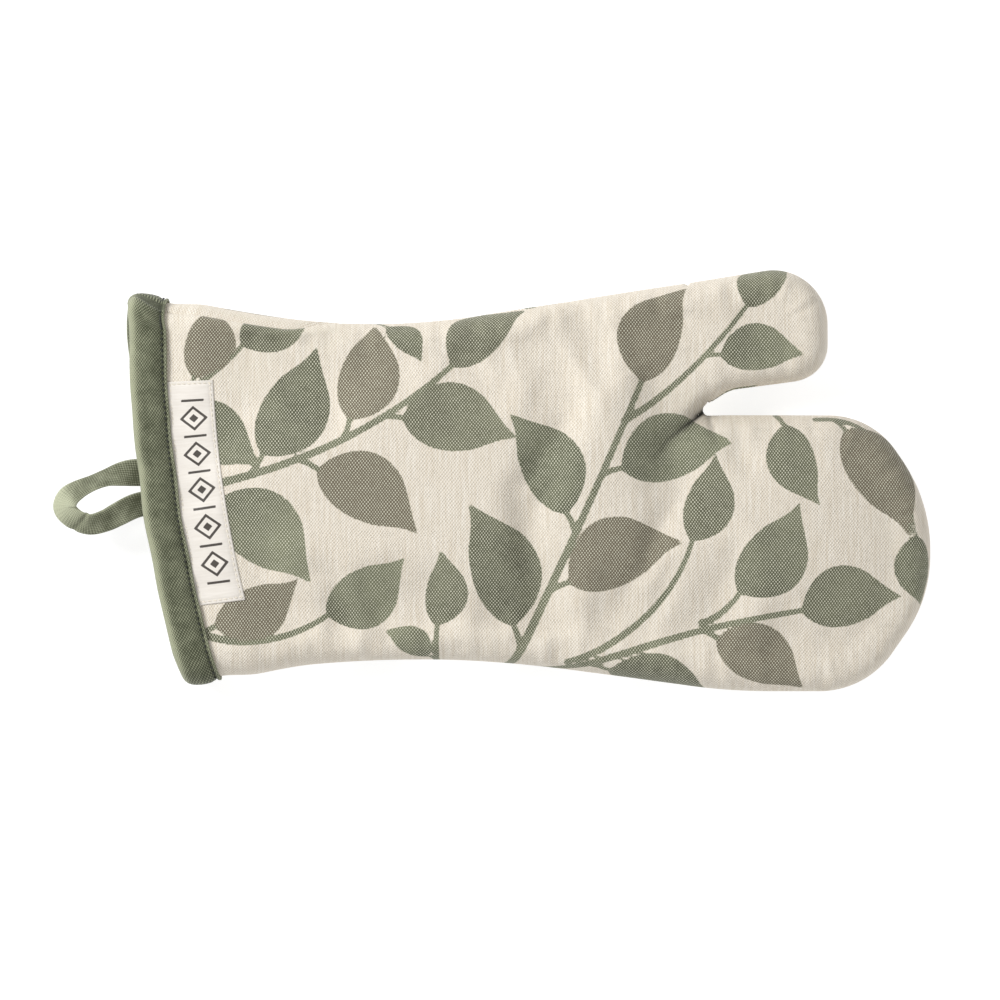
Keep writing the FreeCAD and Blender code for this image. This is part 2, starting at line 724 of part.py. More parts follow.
def build(doc):
    """Build every sub-part and return them as (name, feature) pairs."""
    size = read_sizes(make_sheet(doc))
    outline = feature(doc, "Part::Feature", "outline", Shape=outline_face(size))
    depth = depth_formulas()
    pillows = {name: pillow(doc, f"pillow_{name}", outline, inset, size) for name, inset in depth.items()}
    stack = cuff_disc(doc, "stack_disc", f"{SHEET}.tape + {SHEET}.layer_gap")
    edge = cuff_disc(doc, "edge_disc", "0")
    regions = {
        "thumb": thumb_box(doc, "thumb_box", size, 0),
        "thumb_room": thumb_box(doc, "thumb_room", size, size["hinge_gap"]),
        "finger": finger_box(doc, "finger_box", size, 0),
        "finger_room": finger_box(doc, "finger_room", size, size["hinge_gap"]),
    }
    sides = {"front": side_box(doc, "front_half", True), "back": side_box(doc, "back_half", False)}
    layers = {
        "shell": shell_layer(doc, outline, pillows, stack),
        "wadding": wadding_layer(doc, pillows, stack),
        "lining": lining_layer(doc, pillows, stack),
    }
    parts = []
    for layer_name, layer in layers.items():
        for side_name, side in sides.items():
            name = f"{side_name}_{layer_name}"
            parts += region_parts(doc, common(doc, f"all_{name}", layer, side), name, regions)
    parts += region_parts(doc, shell_seam_thread(doc, outline, stack), "seam_thread", regions)
    parts += region_parts(doc, lining_seam_thread(doc, outline, depth, stack), "lining_thread", regions)
    parts.append(("cuff_binding", cuff_binding(doc, pillows, edge)))
    parts.append(("binding_topstitch", binding_topstitch(doc, pillows, size)))
    parts.append(("woven_label", woven_label(doc)))
    parts.append(("label_stitches", label_stitches(doc, size)))
    parts.append(("hanging_loop", hanging_loop(doc, size)))
    parts.append(("loop_ends", loop_ends(doc, size)))
    parts.append(("loop_bar_tacks", loop_bar_tacks(doc, size)))
    return parts


def check(doc, parts):
    """Stop if any feature failed to build or a sub-part's shape is missing or invalid."""
    for made in doc.Objects:
        if "Invalid" in made.State or "Error" in made.State:
            raise RuntimeError(f"{made.Name} did not build: {made.State}")
    for name, made in parts:
        if made.Shape.isNull() or not made.Shape.Solids or not made.Shape.isValid():
            raise RuntimeError(f"{name} has no valid solid")


def main():
    """Build the mitt, check it and write one STEP file for each sub-part."""
    doc = FreeCAD.newDocument("oven_mitt")
    parts = build(doc)
    for name, made in parts:
        made.Label = name
    doc.recompute()
    check(doc, parts)
    os.makedirs("parts", exist_ok=True)
    for name, made in parts:
        made.Shape.exportStep(f"parts/{name}.step")
        solids = made.Shape.Solids
        print(f"{name}: {len(solids)} solid(s), {made.Shape.Volume:.1f} mm3")


main()
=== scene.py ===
"""Oven mitt, dressed: printed padded panels, bound cuff, woven label and hanging loop.

The mitt lies on its back panel: +X to the fingertips, +Y to the thumb side, +Z up.  Lengths are
millimetres throughout and become metres where a mesh is made.  Every layer follows one form: the
plan outline raised to the height left at its depth, with rounded rims that meet in the side seam.
"""

import logging
import math
from dataclasses import dataclass, field
from enum import Enum

import bmesh
import bpy
import numpy as np
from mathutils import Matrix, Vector, geometry
from mathutils.kdtree import KDTree


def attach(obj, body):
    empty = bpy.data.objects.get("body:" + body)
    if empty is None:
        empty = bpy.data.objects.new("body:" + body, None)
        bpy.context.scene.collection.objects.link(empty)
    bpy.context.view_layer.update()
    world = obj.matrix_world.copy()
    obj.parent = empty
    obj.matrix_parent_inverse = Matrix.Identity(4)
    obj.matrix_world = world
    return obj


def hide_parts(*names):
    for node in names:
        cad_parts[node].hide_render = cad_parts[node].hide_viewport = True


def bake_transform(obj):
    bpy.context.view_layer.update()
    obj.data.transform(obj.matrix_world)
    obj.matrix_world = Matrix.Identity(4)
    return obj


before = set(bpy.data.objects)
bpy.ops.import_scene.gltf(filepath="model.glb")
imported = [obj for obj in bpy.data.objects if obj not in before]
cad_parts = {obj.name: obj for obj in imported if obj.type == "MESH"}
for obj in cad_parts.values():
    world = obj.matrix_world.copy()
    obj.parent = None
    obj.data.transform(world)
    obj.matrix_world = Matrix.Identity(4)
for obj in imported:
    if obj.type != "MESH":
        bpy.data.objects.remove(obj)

LOG = logging.getLogger("oven_mitt")
MM = 0.001
# Points handled at once where each is compared with the whole outline, which keeps the tables small.
BATCH = 4000
Array = np.ndarray
Material = bpy.types.Material
Pair = tuple[float, float]
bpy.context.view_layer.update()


# -------- small helpers


def smooth(low: float, high: float, value: Array) -> Array:
    """Smooth step from 0 at low to 1 at high.

    Args:
        low: where the step starts.
        high: where it ends.
        value: numbers to step.

    Returns:
        The step's height for each number.
    """
    t = np.clip((np.asarray(value, float) - low) / (high - low), 0.0, 1.0)
    return t * t * (3 - 2 * t)


def waver(value: Array, wavelengths: tuple[float, ...], seed: int) -> Array:
    """Uneven wave between about -1 and 1, a sum of sines with settled phases.

    Args:
        value: places along a line, in mm.
        wavelengths: length of each sine, in mm.
        seed: settles the phases.

    Returns:
        Height of the wave at each place.
    """
    draw = np.random.default_rng(seed)
    total = np.zeros_like(np.asarray(value, float))
    for length in wavelengths:
        total += np.sin(2 * math.pi * value / length + draw.uniform(0, 2 * math.pi))
    return total / math.sqrt(len(wavelengths))


def linear(colour: str) -> tuple[float, float, float, float]:
    """Turn an sRGB colour to linear.

    Args:
        colour: a hex value such as "#F0EADF".

    Returns:
        Its linear red, green and blue, and full alpha.
    """
    parts = [int(colour[i : i + 2], 16) / 255 for i in (1, 3, 5)]
    line = [c / 12.92 if c <= 0.04045 else ((c + 0.055) / 1.055) ** 2.4 for c in parts]
    return (line[0], line[1], line[2], 1.0)


def unit(vectors: Array) -> Array:
    """Vectors scaled to length 1."""
    return vectors / np.maximum(np.linalg.norm(vectors, axis=-1, keepdims=True), 1e-12)


def add_node(
    tree: bpy.types.NodeTree, kind: str, settings: dict | None = None, inputs: dict | None = None
) -> bpy.types.Node:
    """Add one shader node with its settings and what feeds it.

    Args:
        tree: the material's nodes.
        kind: the node's Blender type, less its first word ShaderNode.
        settings: the node's own properties.
        inputs: by socket name or number, a plain value or another node's output socket.

    Returns:
        The node.
    """
    node = tree.nodes.new(f"ShaderNode{kind}")
    for key, value in (settings or {}).items():
        setattr(node, key, value)
    for key, value in (inputs or {}).items():
        if isinstance(value, bpy.types.NodeSocket):
            tree.links.new(value, node.inputs[key])
        else:
            node.inputs[key].default_value = value
    return node


# -------- sizes and plan outline


class Side(Enum):
    """The two padded walls of the mitt."""

    FRONT = 1
    BACK = -1


class Part(Enum):
    """The two lengths that each layer is cut in, parted at the thumb's fold."""

    HAND = "hand"
    THUMB = "thumb"


@dataclass(frozen=True)
class MittSize:
    """Driving dimensions, in millimetres and degrees."""

    length: float = 322.0
    loop_reach: float = 30.8
    width: float = 169.6
    thickness: float = 28.0
    finger_length: float = 95.9
    finger_width: float = 111.2
    thumb_length: float = 54.7
    thumb_gap: float = 15.1
    notch_gap: float = 10.0
    notch_length: float = 15.2
    crotch_radius: float = 2.0
    notch_radius: float = 15.0
    thumb_tip_radius: float = 22.0
    thumb_inner_radius: float = 15.0
    thumb_side_angle: float = 8.9
    cuff_flare_angle: float = 8.8
    heel_side_angle: float = 7.6
    heel_flare_angle: float = 6.7
    wrist_thumb_place: float = 97.7
    wrist_heel_place: float = 119.6
    heel_flat_place: float = 241.5
    wrist_thumb_radius: float = 274.0
    wrist_heel_radius: float = 459.0
    heel_radius: float = 250.0
    tip_slope: float = 55.0
    tip_corner_x: float = 23.8
    tip_top_radius: float = 33.0
    tip_side_radius: float = 64.0
    heel_corner_x: float = 26.0
    tip_heel_radius: float = 56.0
    tip_bottom_radius: float = 36.0
    cuff_radius: float = 490.0
    cuff_high_point: float = 63.4
    thumb_axis_angle: float = 9.1
    binding_width: float = 15.0

    @property
    def tip_x(self) -> float:
        """Fingertips, measured from the middle of mitt and loop."""
        return (self.length + self.loop_reach) / 2

    @property
    def half_width(self) -> float:
        """Half of the mitt's width."""
        return self.width / 2

    @property
    def cuff_x(self) -> float:
        """The cuff edge's furthest point."""
        return self.tip_x - self.length

    @property
    def crotch_x(self) -> float:
        """Corner between thumb and fingers."""
        return self.tip_x - self.finger_length

    @property
    def finger_top(self) -> float:
        """Thumb side of the finger pocket."""
        return self.finger_width - self.half_width

    @property
    def cuff_centre(self) -> Array:
        """Centre of the cuff edge's sweep."""
        return np.array((self.cuff_x + self.cuff_radius, self.cuff_high_point))

    @property
    def thumb_way(self) -> Array:
        """Direction across the thumb's fold, towards the thumb's tip."""
        angle = math.radians(self.thumb_axis_angle)
        return np.array((math.cos(angle), math.sin(angle)))

    def corners(self) -> list[tuple[float, float, float]]:
        """Corners of the outline, clockwise from the cuff's thumb side.

        Returns:
            Each corner's x, y and rounding radius.
        """
        rise = {
            name: math.tan(math.radians(angle))
            for name, angle in (
                ("thumb", self.thumb_side_angle),
                ("cuff", self.cuff_flare_angle),
                ("heel", self.heel_side_angle),
                ("flare", self.heel_flare_angle),
                ("tip", self.tip_slope),
            )
        }
        start_x = self.cuff_x - 3 * self.binding_width
        half_turn = math.radians((90 + self.thumb_side_angle) / 2)
        thumb_x = self.crotch_x + self.thumb_length
        thumb_y = self.half_width + self.thumb_tip_radius * (math.tan(half_turn) - 1)
        wrist_x = self.cuff_x + self.wrist_thumb_place
        wrist_y = thumb_y - (thumb_x - wrist_x) * rise["thumb"]
        heel_x = self.cuff_x + self.wrist_heel_place
        flat_x = self.cuff_x + self.heel_flat_place
        heel_y = (flat_x - heel_x) * rise["heel"] - self.half_width
        top = self.finger_top
        return [
            (start_x, wrist_y + (wrist_x - start_x) * rise["cuff"], 0.0),
            (wrist_x, wrist_y, self.wrist_thumb_radius),
            (thumb_x, thumb_y, self.thumb_tip_radius),
            (thumb_x, top + self.thumb_gap, self.thumb_inner_radius),
            (self.crotch_x + self.notch_length, top + self.notch_gap, self.notch_radius),
            (self.crotch_x, top, self.crotch_radius),
            (self.tip_x - self.tip_corner_x, top, self.tip_top_radius),
            (self.tip_x, top - self.tip_corner_x * rise["tip"], self.tip_side_radius),
            (self.tip_x, self.heel_corner_x * rise["tip"] - self.half_width, self.tip_heel_radius),
            (self.tip_x - self.heel_corner_x, -self.half_width, self.tip_bottom_radius),
            (flat_x, -self.half_width, self.heel_radius),
            (heel_x, heel_y, self.wrist_heel_radius),
            (start_x, heel_y - (heel_x - start_x) * rise["flare"], 0.0),
        ]


@dataclass
class Located:
    """Points of the plan with what the form needs to know of each."""

    plan: Array
    foot: Array
    inward: Array
    reach: Array
    run: Array
    cuff: Array

    def at(self, keep: Array) -> "Located":
        """The same for some of the points."""
        return Located(*(getattr(self, name)[keep] for name in self.__dataclass_fields__))


class Outline:
    """The mitt's plan outline, as closely spaced points with their inward directions."""

    CROTCH = 5

    def __init__(self, size: MittSize, step: float = 0.4) -> None:
        """Round the corners and space points evenly along the line.

        Args:
            size: driving dimensions.
            step: spacing of the points.
        """
        self.size = size
        self.step = step
        corners = size.corners()
        points = np.array([(x, y) for x, y, _ in corners])
        radii = np.array([r for _, _, r in corners])
        back = unit(np.roll(points, 1, 0) - points)
        onward = unit(np.roll(points, -1, 0) - points)
        half_open = np.arccos(np.clip((back * onward).sum(1), -1, 1)) / 2
        wanted = radii / np.tan(half_open)
        side = np.linalg.norm(np.roll(points, -1, 0) - points, axis=1)
        share = np.minimum(1, 0.99 * side / np.maximum(wanted + np.roll(wanted, -1), 1e-9))
        tangent = wanted * np.minimum(np.roll(share, 1), share)
        radius = tangent * np.tan(half_open)
        line = [points[0]]
        for i in range(1, len(points) - 1):
            middle = unit(back[i] + onward[i])
            centre = points[i] + middle * radius[i] / math.sin(half_open[i])
            start = points[i] + back[i] * tangent[i]
            end = points[i] + onward[i] * tangent[i]
            first = math.atan2(*(start - centre)[::-1])
            turn = math.atan2(*(end - centre)[::-1]) - first
            turn = (turn + math.pi) % (2 * math.pi) - math.pi
            steps = max(6, int(abs(turn) * radius[i] / (step / 2)))
            for t in np.linspace(0, 1, steps):
                angle = first + turn * t
                line.append(centre + radius[i] * np.array((math.cos(angle), math.sin(angle))))
            if i == self.CROTCH:
                self.crotch_centre = centre
        line.append(points[-1])
        rough = np.array(line)
        run = np.concatenate(([0], np.cumsum(np.linalg.norm(np.diff(rough, axis=0), axis=1))))
        self.run = np.arange(0, run[-1], step)
        self.points = np.stack([np.interp(self.run, run, rough[:, k]) for k in (0, 1)], 1)
        self.along = unit(np.gradient(self.points, axis=0))
        self.normals = np.stack((self.along[:, 1], -self.along[:, 0]), 1)

    def locate(self, plan: Array) -> Located:
        """Find each point's foot on the outline.

        Args:
            plan: points inside the outline.

        Returns:
            The points with foot, inward direction, distance, place along the line and cuff radius.
        """
        nearest = np.zeros(len(plan), int)
        squares = (self.points**2).sum(1)
        for low in range(0, len(plan), BATCH):
            part = plan[low : low + BATCH]
            nearest[low : low + BATCH] = (squares - 2 * part @ self.points.T).argmin(1)
        slide = ((plan - self.points[nearest]) * self.along[nearest]).sum(1)
        slide = np.clip(slide, -self.step, self.step)
        foot = self.points[nearest] + self.along[nearest] * slide[:, None]
        reach = np.linalg.norm(plan - foot, axis=1)
        towards = (plan - foot) / np.maximum(reach, 1e-9)[:, None]
        # A point on the line itself has no direction from its foot, so it takes the line's own.
        inward = np.where(reach[:, None] > 0.05, towards, self.normals[nearest])
        cuff = np.linalg.norm(plan - self.size.cuff_centre, axis=1)
        return Located(plan, foot, inward, reach, self.run[nearest] + slide, cuff)

    def run_point(self, run: Array) -> Located:
        """Find points on the outline itself.

        Args:
            run: places along the outline.

        Returns:
            The points, each its own foot.
        """
        foot = np.stack([np.interp(run, self.run, self.points[:, k]) for k in (0, 1)], 1)
        inward = unit(np.stack([np.interp(run, self.run, self.normals[:, k]) for k in (0, 1)], 1))
        cuff = np.linalg.norm(foot - self.size.cuff_centre, axis=1)
        return Located(foot, foot, inward, np.zeros(len(run)), run, cuff)

    def crossings(self, radius: float) -> Pair:
        """Where a sweep about the cuff's centre meets the outline.

        Args:
            radius: the sweep's radius.

        Returns:
            Place along the outline of the thumb-side and of the heel-side meeting point.
        """
        cuff = np.linalg.norm(self.points - self.size.cuff_centre, axis=1)
        inside = np.flatnonzero(cuff < radius)
        first, last = inside[0], inside[-1]
        near = np.interp(radius, (cuff[first], cuff[first - 1]), (self.run[first], self.run[first - 1]))
        far = np.interp(radius, (cuff[last], cuff[last + 1]), (self.run[last], self.run[last + 1]))
        return float(near), float(far)


# -------- form: rims, folds and swell


@dataclass(frozen=True)
class Crease:
    """A fold or soft hollow pressed into the front panel.

    It is `sink` deep and widens from `near` to `far` along its path, where it also fades out if
    `fades` is set.  `shut` is the strength of the painted shade laid on its bottom, for the light
    that is lost where the cloth is pinched together, over a line `pinch_width` wide.
    """

    path: tuple[Pair, ...]
    sink: float
    near: float
    far: float
    fades: bool = True
    shut: float = 0.0
    pinch_width: float = 0.9

    def _near(self, plan: Array) -> list[tuple[Array, Array]]:
        """Measure from each straight of the crease.

        Args:
            plan: points of the front panel.

        Returns:
            For each straight, the points' distance and their share of the way along the crease.
        """
        path = np.array(self.path, float)
        lengths = np.linalg.norm(np.diff(path, axis=0), axis=1)
        starts = np.concatenate(([0], np.cumsum(lengths)))
        found = []
        for i, length in enumerate(lengths):
            along = (path[i + 1] - path[i]) / length
            t = np.clip((plan - path[i]) @ along, 0, length)
            away = np.linalg.norm(plan - path[i] - t[:, None] * along, axis=1)
            found.append((away, (starts[i] + t) / starts[-1]))
        return found

    def relief(self, plan: Array) -> Array:
        """How far the crease lowers each point.

        Args:
            plan: points of the front panel.

        Returns:
            Relief in mm, below zero in the crease.
        """
        total = np.zeros(len(plan))
        for away, share in self._near(plan):
            half = self.near + (self.far - self.near) * share
            strength = (1 - share) ** 1.1 if self.fades else np.sin(np.pi * (0.1 + 0.8 * share))
            total = np.maximum(total, strength * np.exp(-((away / half) ** 2)))
        return -self.sink * total

    def pinch(self, plan: Array) -> Array:
        """Painted shade where the cloth is pinched shut and no light gets in.

        Args:
            plan: points of the front panel.

        Returns:
            Strength of the painted shade at each point, the share of light that it stands for.
        """
        total = np.zeros(len(plan))
        for away, share in self._near(plan):
            line = np.exp(-((away / self.pinch_width) ** 2))
            hollow = 0.3 * np.exp(-((away / (5 * self.pinch_width)) ** 2))
            total = np.maximum(total, (1 - share) ** 0.8 * (line + hollow))
        return self.shut * total


@dataclass
class Form:
    """The mitt's outer form and every surface at a depth below it."""

    outline: Outline
    rim_width: float = 13.0
    middle: float = 14.0
    half_height: float = 13.5
    crown: float = 1.8
    crown_run: float = 20.0
    seam_groove: float = 1.2
    groove_run: float = 1.1
    bound_pull: float = 1.9
    heel_spread: float = 2.6
    thumb_spread: float = 1.0
    spread_half_width: float = 76.0
    thumb_roll: float = 0.80
    heel_roll: float = -0.16
    roll_waver: float = 0.10
    back_crown: float = 0.12
    pucker_height: float = 0.34
    # Distances from the cuff's centre over which relief dies away, and binding and flare take hold.
    calm_run: Pair = (440.0, 470.0)
    bound_run: Pair = (459.0, 475.0)
    flare_run: Pair = (438.0, 482.0)
    swell: dict = field(default_factory=dict)
    creases: tuple[Crease, ...] = (
        Crease(((85.6, 28.2), (78.5, 22.5), (71.2, 17.0), (63.0, 7.0)), 4.4, 2.6, 6.5, True, 0.95),
        Crease(((86.6, 26.4), (88.6, 19.5), (90.4, 12.0)), 2.6, 1.5, 2.6, True, 0.35),
        Crease(((80.0, 27.0), (66.0, 33.0), (54.0, 33.5)), 2.0, 3.0, 8.0),
        Crease(((95.0, 13.0), (107.0, 4.0)), 1.4, 5.0, 7.0, False),
        Crease(((59.0, 17.0), (72.0, 8.0), (84.0, -1.0)), 1.6, 6.0, 8.0, False),
        Crease(((26.0, 71.0), (36.0, 64.0), (45.0, 52.0)), 1.6, 5.0, 7.0, False),
        Crease(((-49.0, -47.0), (-43.0, -58.0), (-38.0, -70.0)), 1.5, 4.5, 6.0, False),
        Crease(((-62.0, -40.0), (-60.0, -56.0), (-64.0, -68.0)), 1.0, 4.5, 6.0, False),
        Crease(((-84.0, 55.0), (-64.0, 34.0), (-58.0, 14.0)), 1.2, 6.0, 8.0, False),
        Crease(((4.0, -20.0), (20.0, -42.0), (26.0, -64.0)), 1.2, 7.0, 9.0, False),
        Crease(((118.0, -20.0), (130.0, -40.0), (150.0, -54.0)), 1.2, 7.0, 8.0, False),
    )

    def roll(self, at: Located) -> Array:
        """How far the side seam has rolled on to the front, most of all beside the cuff's thumb end.

        Args:
            at: located points.

        Returns:
            The roll at each point, in radians.
        """
        x, y = at.foot[:, 0], at.foot[:, 1]
        near_cuff = smooth(-150, -134, x) * (1 - smooth(-84, -54, x)) * (y > 0)
        uneven = self.roll_waver * waver(at.run, (173.0, 97.0, 61.0), 3)
        heel = self.heel_roll * (y < 0) * smooth(-60, 20, x)
        return self.thumb_roll * near_cuff + (uneven + heel) * (1 - near_cuff)

    def turn(self, at: Located, side: Side) -> tuple[Array, Array]:
        """Place points round the rim.

        Args:
            at: located points.
            side: the wall that they are on.

        Returns:
            Angle round the rim from the mid-plane up, and distance round it from the side seam.
        """
        lean = np.arccos(1 - np.clip(at.reach / self.rim_width, 0, 1))
        roll = self.roll(at)
        turned = side.value * lean * (1 - side.value * roll / (math.pi / 2))
        return roll + turned, np.abs(turned) * self.rim_width

    def relief(self, at: Located, side: Side) -> Array:
        """Height that folds, puckers and swelling add, fading out at the seam and the binding.

        Args:
            at: located points.
            side: the wall that they are on.

        Returns:
            Added height in mm, outwards.
        """
        within = np.maximum(at.reach - self.rim_width, 0)
        total = self.crown * (1 - np.exp(-((within / self.crown_run) ** 2)))
        if side is Side.FRONT:
            for crease in self.creases:
                total += crease.relief(at.plan)
        else:
            total *= self.back_crown
        pucker = self.pucker_height * waver(at.run, (10.6, 14.9, 7.3), 5 + side.value)
        pucker *= smooth(0.6, 4.0, at.reach) * np.exp(-((at.reach / 12) ** 2))
        total += pucker
        field_of = self.swell.get(side)
        if field_of is not None:
            total += field_of.sample(at.plan)
        return total * (1 - smooth(*self.calm_run, at.cuff)) * smooth(0.0, 3.5, at.reach)

    def place(self, at: Located, side: Side, depth: float | Array, bound: bool = False) -> Array:
        """Put points on the surface at a depth below the outer face.

        Args:
            at: located points of the plan.
            side: front or back wall.
            depth: distance below the outer face, negative outside it.
            bound: True for the binding itself, which nothing draws in.

        Returns:
            Points in the row frame, in mm.
        """
        turn, from_seam = self.turn(at, side)
        sunk = np.asarray(depth, float) + self.seam_groove * np.exp(-((from_seam / self.groove_run) ** 2))
        if not bound:
            sunk = sunk + self.bound_pull * smooth(*self.bound_run, at.cuff)
        wide = self.rim_width
        inward = sunk + (wide - sunk) * (1 - np.cos(turn))
        inside = at.reach >= wide
        plan = np.where(inside[:, None], at.plan, at.foot + at.inward * inward[:, None])
        plan = plan + self.flare(at.cuff, plan[:, 1])
        sine = np.where(inside, side.value, np.sin(turn))
        height = self.middle + (self.half_height - sunk) * sine + side.value * self.relief(at, side)
        return np.column_stack((plan, height))

    def flare(self, cuff: Array, across: Array) -> Array:
        """Sideways shift that the bound cuff's spreading adds.

        Args:
            cuff: distance from the cuff's centre.
            across: sideways place.

        Returns:
            Shift of each point in the plan.
        """
        share = np.clip(across / self.spread_half_width, -1, 1)
        shift = np.where(share < 0, self.heel_spread, self.thumb_spread) * share
        return np.column_stack((np.zeros(len(share)), shift * smooth(*self.flare_run, cuff)))

    def cloth(self, at: Located, side: Side) -> Array:
        """Lay points out on the flat pattern, where weave and print are placed.

        Args:
            at: located points.
            side: the wall that they are on.

        Returns:
            Flat places in mm.
        """
        turn, _ = self.turn(at, side)
        left = (math.pi / 2 - side.value * turn) * (self.rim_width + self.half_height) / 2
        laid = at.foot + at.inward * (self.rim_width - left)[:, None]
        return np.where((at.reach >= self.rim_width)[:, None], at.plan, laid)


# -------- plan meshes


class Plan:
    """Triangles over the mitt's plan, following its edge and parted at the thumb's fold."""

    RINGS = (0.12, 0.45, 1.0, 1.75, 2.7, 3.8, 5.0, 6.4, 8.0, 9.8, 11.6)

    # Share of the spacing at the crotch's tight corner, and the distances over which it evens out.
    CROTCH_SHARE = 0.28
    CROTCH_RUN = (2.5, 16.0)
    # Gap in mm between the last row of points and the mouth.
    MOUTH_GAP = 0.35

    def __init__(
        self, outline: Outline, spacing: float, cuff_radius: float, rings: tuple[float, ...] = RINGS
    ) -> None:
        """Lay out the points and triangulate them.

        Args:
            outline: the mitt's outline.
            spacing: distance between neighbouring points.
            cuff_radius: sweep where the layer ends at the cuff.
            rings: distances from the edge of the rows that follow it.
        """
        size = outline.size
        start, end = outline.crossings(cuff_radius)
        steps = [start]
        from_crotch = np.linalg.norm(outline.points - outline.crotch_centre, axis=1)
        crotch_run = float(outline.run[from_crotch.argmin()])
        while steps[-1] < end:
            near = abs(steps[-1] - crotch_run)
            share = self.CROTCH_SHARE + (1 - self.CROTCH_SHARE) * smooth(*self.CROTCH_RUN, near)
            steps.append(steps[-1] + spacing * float(share))
        runs = np.array(steps)
        runs = start + (runs - start) * (end - start) / (runs[-1] - start)
        edge = outline.run_point(runs)
        heel = edge.plan[-1] - size.cuff_centre
        thumb = edge.plan[0] - size.cuff_centre
        from_angle = math.atan2(heel[1], heel[0]) % (2 * math.pi)
        to_angle = math.atan2(thumb[1], thumb[0]) % (2 * math.pi)
        count = max(4, int((from_angle - to_angle) * cuff_radius / spacing))
        angles = np.linspace(from_angle, to_angle, count + 1)[1:-1]
        mouth = size.cuff_centre + cuff_radius * np.stack((np.cos(angles), np.sin(angles)), 1)
        border = np.concatenate((edge.plan, mouth))
        self.direction = size.thumb_way
        self.hinge = outline.crotch_centre
        upward = np.array((-self.direction[1], self.direction[0]))
        inner = []
        for ring in rings:
            row = edge.plan + edge.inward * ring
            inner.append(self._kept(outline, row, ring * 0.93, spacing * 0.45, cuff_radius))
        low, high = border.min(0), border.max(0)
        xs = np.arange(low[0], high[0], spacing)
        ys = np.arange(low[1], high[1], spacing * math.sqrt(3) / 2)
        grid_x, grid_y = np.meshgrid(xs, ys)
        grid_x[1::2] += spacing / 2
        hexes = np.stack((grid_x.ravel(), grid_y.ravel()), 1)
        last = rings[-1] if rings else 0.0
        inner.append(self._kept(outline, hexes, last + 0.6 * spacing, 0.0, cuff_radius - 0.5 * spacing))
        filled = np.concatenate(inner)
        cut_runs = self._cut_points(outline, upward, spacing)
        beside = np.abs((filled - self.hinge) @ self.direction) < 0.4 * spacing
        beside &= (filled - self.hinge) @ upward > 0
        filled = filled[~beside]
        points = np.concatenate((border, cut_runs, filled))
        edges = [(i, (i + 1) % len(border)) for i in range(len(border))]
        edges += [(len(border) + i, len(border) + i + 1) for i in range(len(cut_runs) - 1)]
        verts, _, faces, *_ = geometry.delaunay_2d_cdt(
            [Vector(p) for p in points.tolist()], edges, [], 1, 1e-5, False
        )
        self.at = outline.locate(np.array([(v.x, v.y) for v in verts]))
        triangles = np.array([f for f in faces if len(f) == 3], int)
        a, b, c = (self.at.plan[triangles[:, k]] for k in range(3))
        area = (b[:, 0] - a[:, 0]) * (c[:, 1] - a[:, 1]) - (b[:, 1] - a[:, 1]) * (c[:, 0] - a[:, 0])
        triangles = triangles[np.abs(area) > 1e-7]
        area = area[np.abs(area) > 1e-7]
        triangles[area < 0] = triangles[area < 0][:, ::-1]
        triangles = triangles[inside_ring(border, self.at.plan[triangles].mean(1))]
        self.triangles = triangles
        middle = self.at.plan[triangles].mean(1) - self.hinge
        self.is_thumb = (middle @ self.direction > 0) & (middle[:, 1] > 0)

    @staticmethod
    def _kept(outline: Outline, points: Array, least: float, gap: float, cuff_radius: float) -> Array:
        """Keep the points that leave room for the triangles round them.

        Args:
            outline: the mitt's outline.
            points: candidates, in order along their row.
            least: least distance from the edge.
            gap: least distance from the point before, or 0 for no such test.
            cuff_radius: sweep where the layer ends at the cuff.

        Returns:
            The points kept.
        """
        winding = inside_ring(outline.points[::4], points)
        points = points[winding]
        at = outline.locate(points)
        keep = (at.reach > least) & (at.cuff < cuff_radius - Plan.MOUTH_GAP)
        points = points[keep]
        if gap:
            kept: list[Array] = []
            for point in points:
                if not kept or np.linalg.norm(point - kept[-1]) > gap:
                    kept.append(point)
            points = np.array(kept).reshape(-1, 2)
        return points

    def _cut_points(self, outline: Outline, upward: Array, spacing: float) -> Array:
        """Space points along the thumb's fold, from the crotch to the thumb side's edge.

        Args:
            outline: the mitt's outline.
            upward: direction of the fold.
            spacing: distance between points.

        Returns:
            The points in order.
        """
        reach = np.arange(0, 80, 0.05)
        line = self.hinge + reach[:, None] * upward
        inside = np.flatnonzero(inside_ring(outline.points[::2], line))
        first, last = reach[inside[0]], reach[inside[-1]]
        count = max(3, int((last - first) / spacing))
        return self.hinge + np.linspace(first, last, count + 1)[:, None] * upward

    def faces_of(self, part: Part) -> Array:
        """Triangles of one part."""
        return self.triangles[self.is_thumb if part is Part.THUMB else ~self.is_thumb]


def inside_ring(ring: Array, points: Array) -> Array:
    """Tell which points lie inside a closed ring, by counting the edges crossed.

    Args:
        ring: the ring's corners in order.
        points: points to test.

    Returns:
        True for each point inside.
    """
    ax, ay = ring[:, 0], ring[:, 1]
    bx, by = np.roll(ax, -1), np.roll(ay, -1)
    found = np.zeros(len(points), bool)
    for low in range(0, len(points), BATCH):
        x = points[low : low + BATCH, 0][:, None]
        y = points[low : low + BATCH, 1][:, None]
        spans = (ay > y) != (by > y)
        with np.errstate(divide="ignore", invalid="ignore"):
            cross = (bx - ax) * (y - ay) / (by - ay) + ax
        found[low : low + BATCH] = (spans & (x < cross)).sum(1) % 2 == 1
    return found


# -------- printed sprigs


# Bare cloth left between leaves in mm, and the sizes that a crowded leaf is tried at.
SPRIG_GAP = 1.6
SPRIG_SHRINK = (1.0, 0.93, 0.86, 0.8, 0.74, 0.68, 0.62)
# Place along a leaf, from its foot at 0, where it starts to draw out to its tip.
LEAF_TIP = 0.62
# Depth given to cloth that no leaf or stem covers.
BARE = -1e9


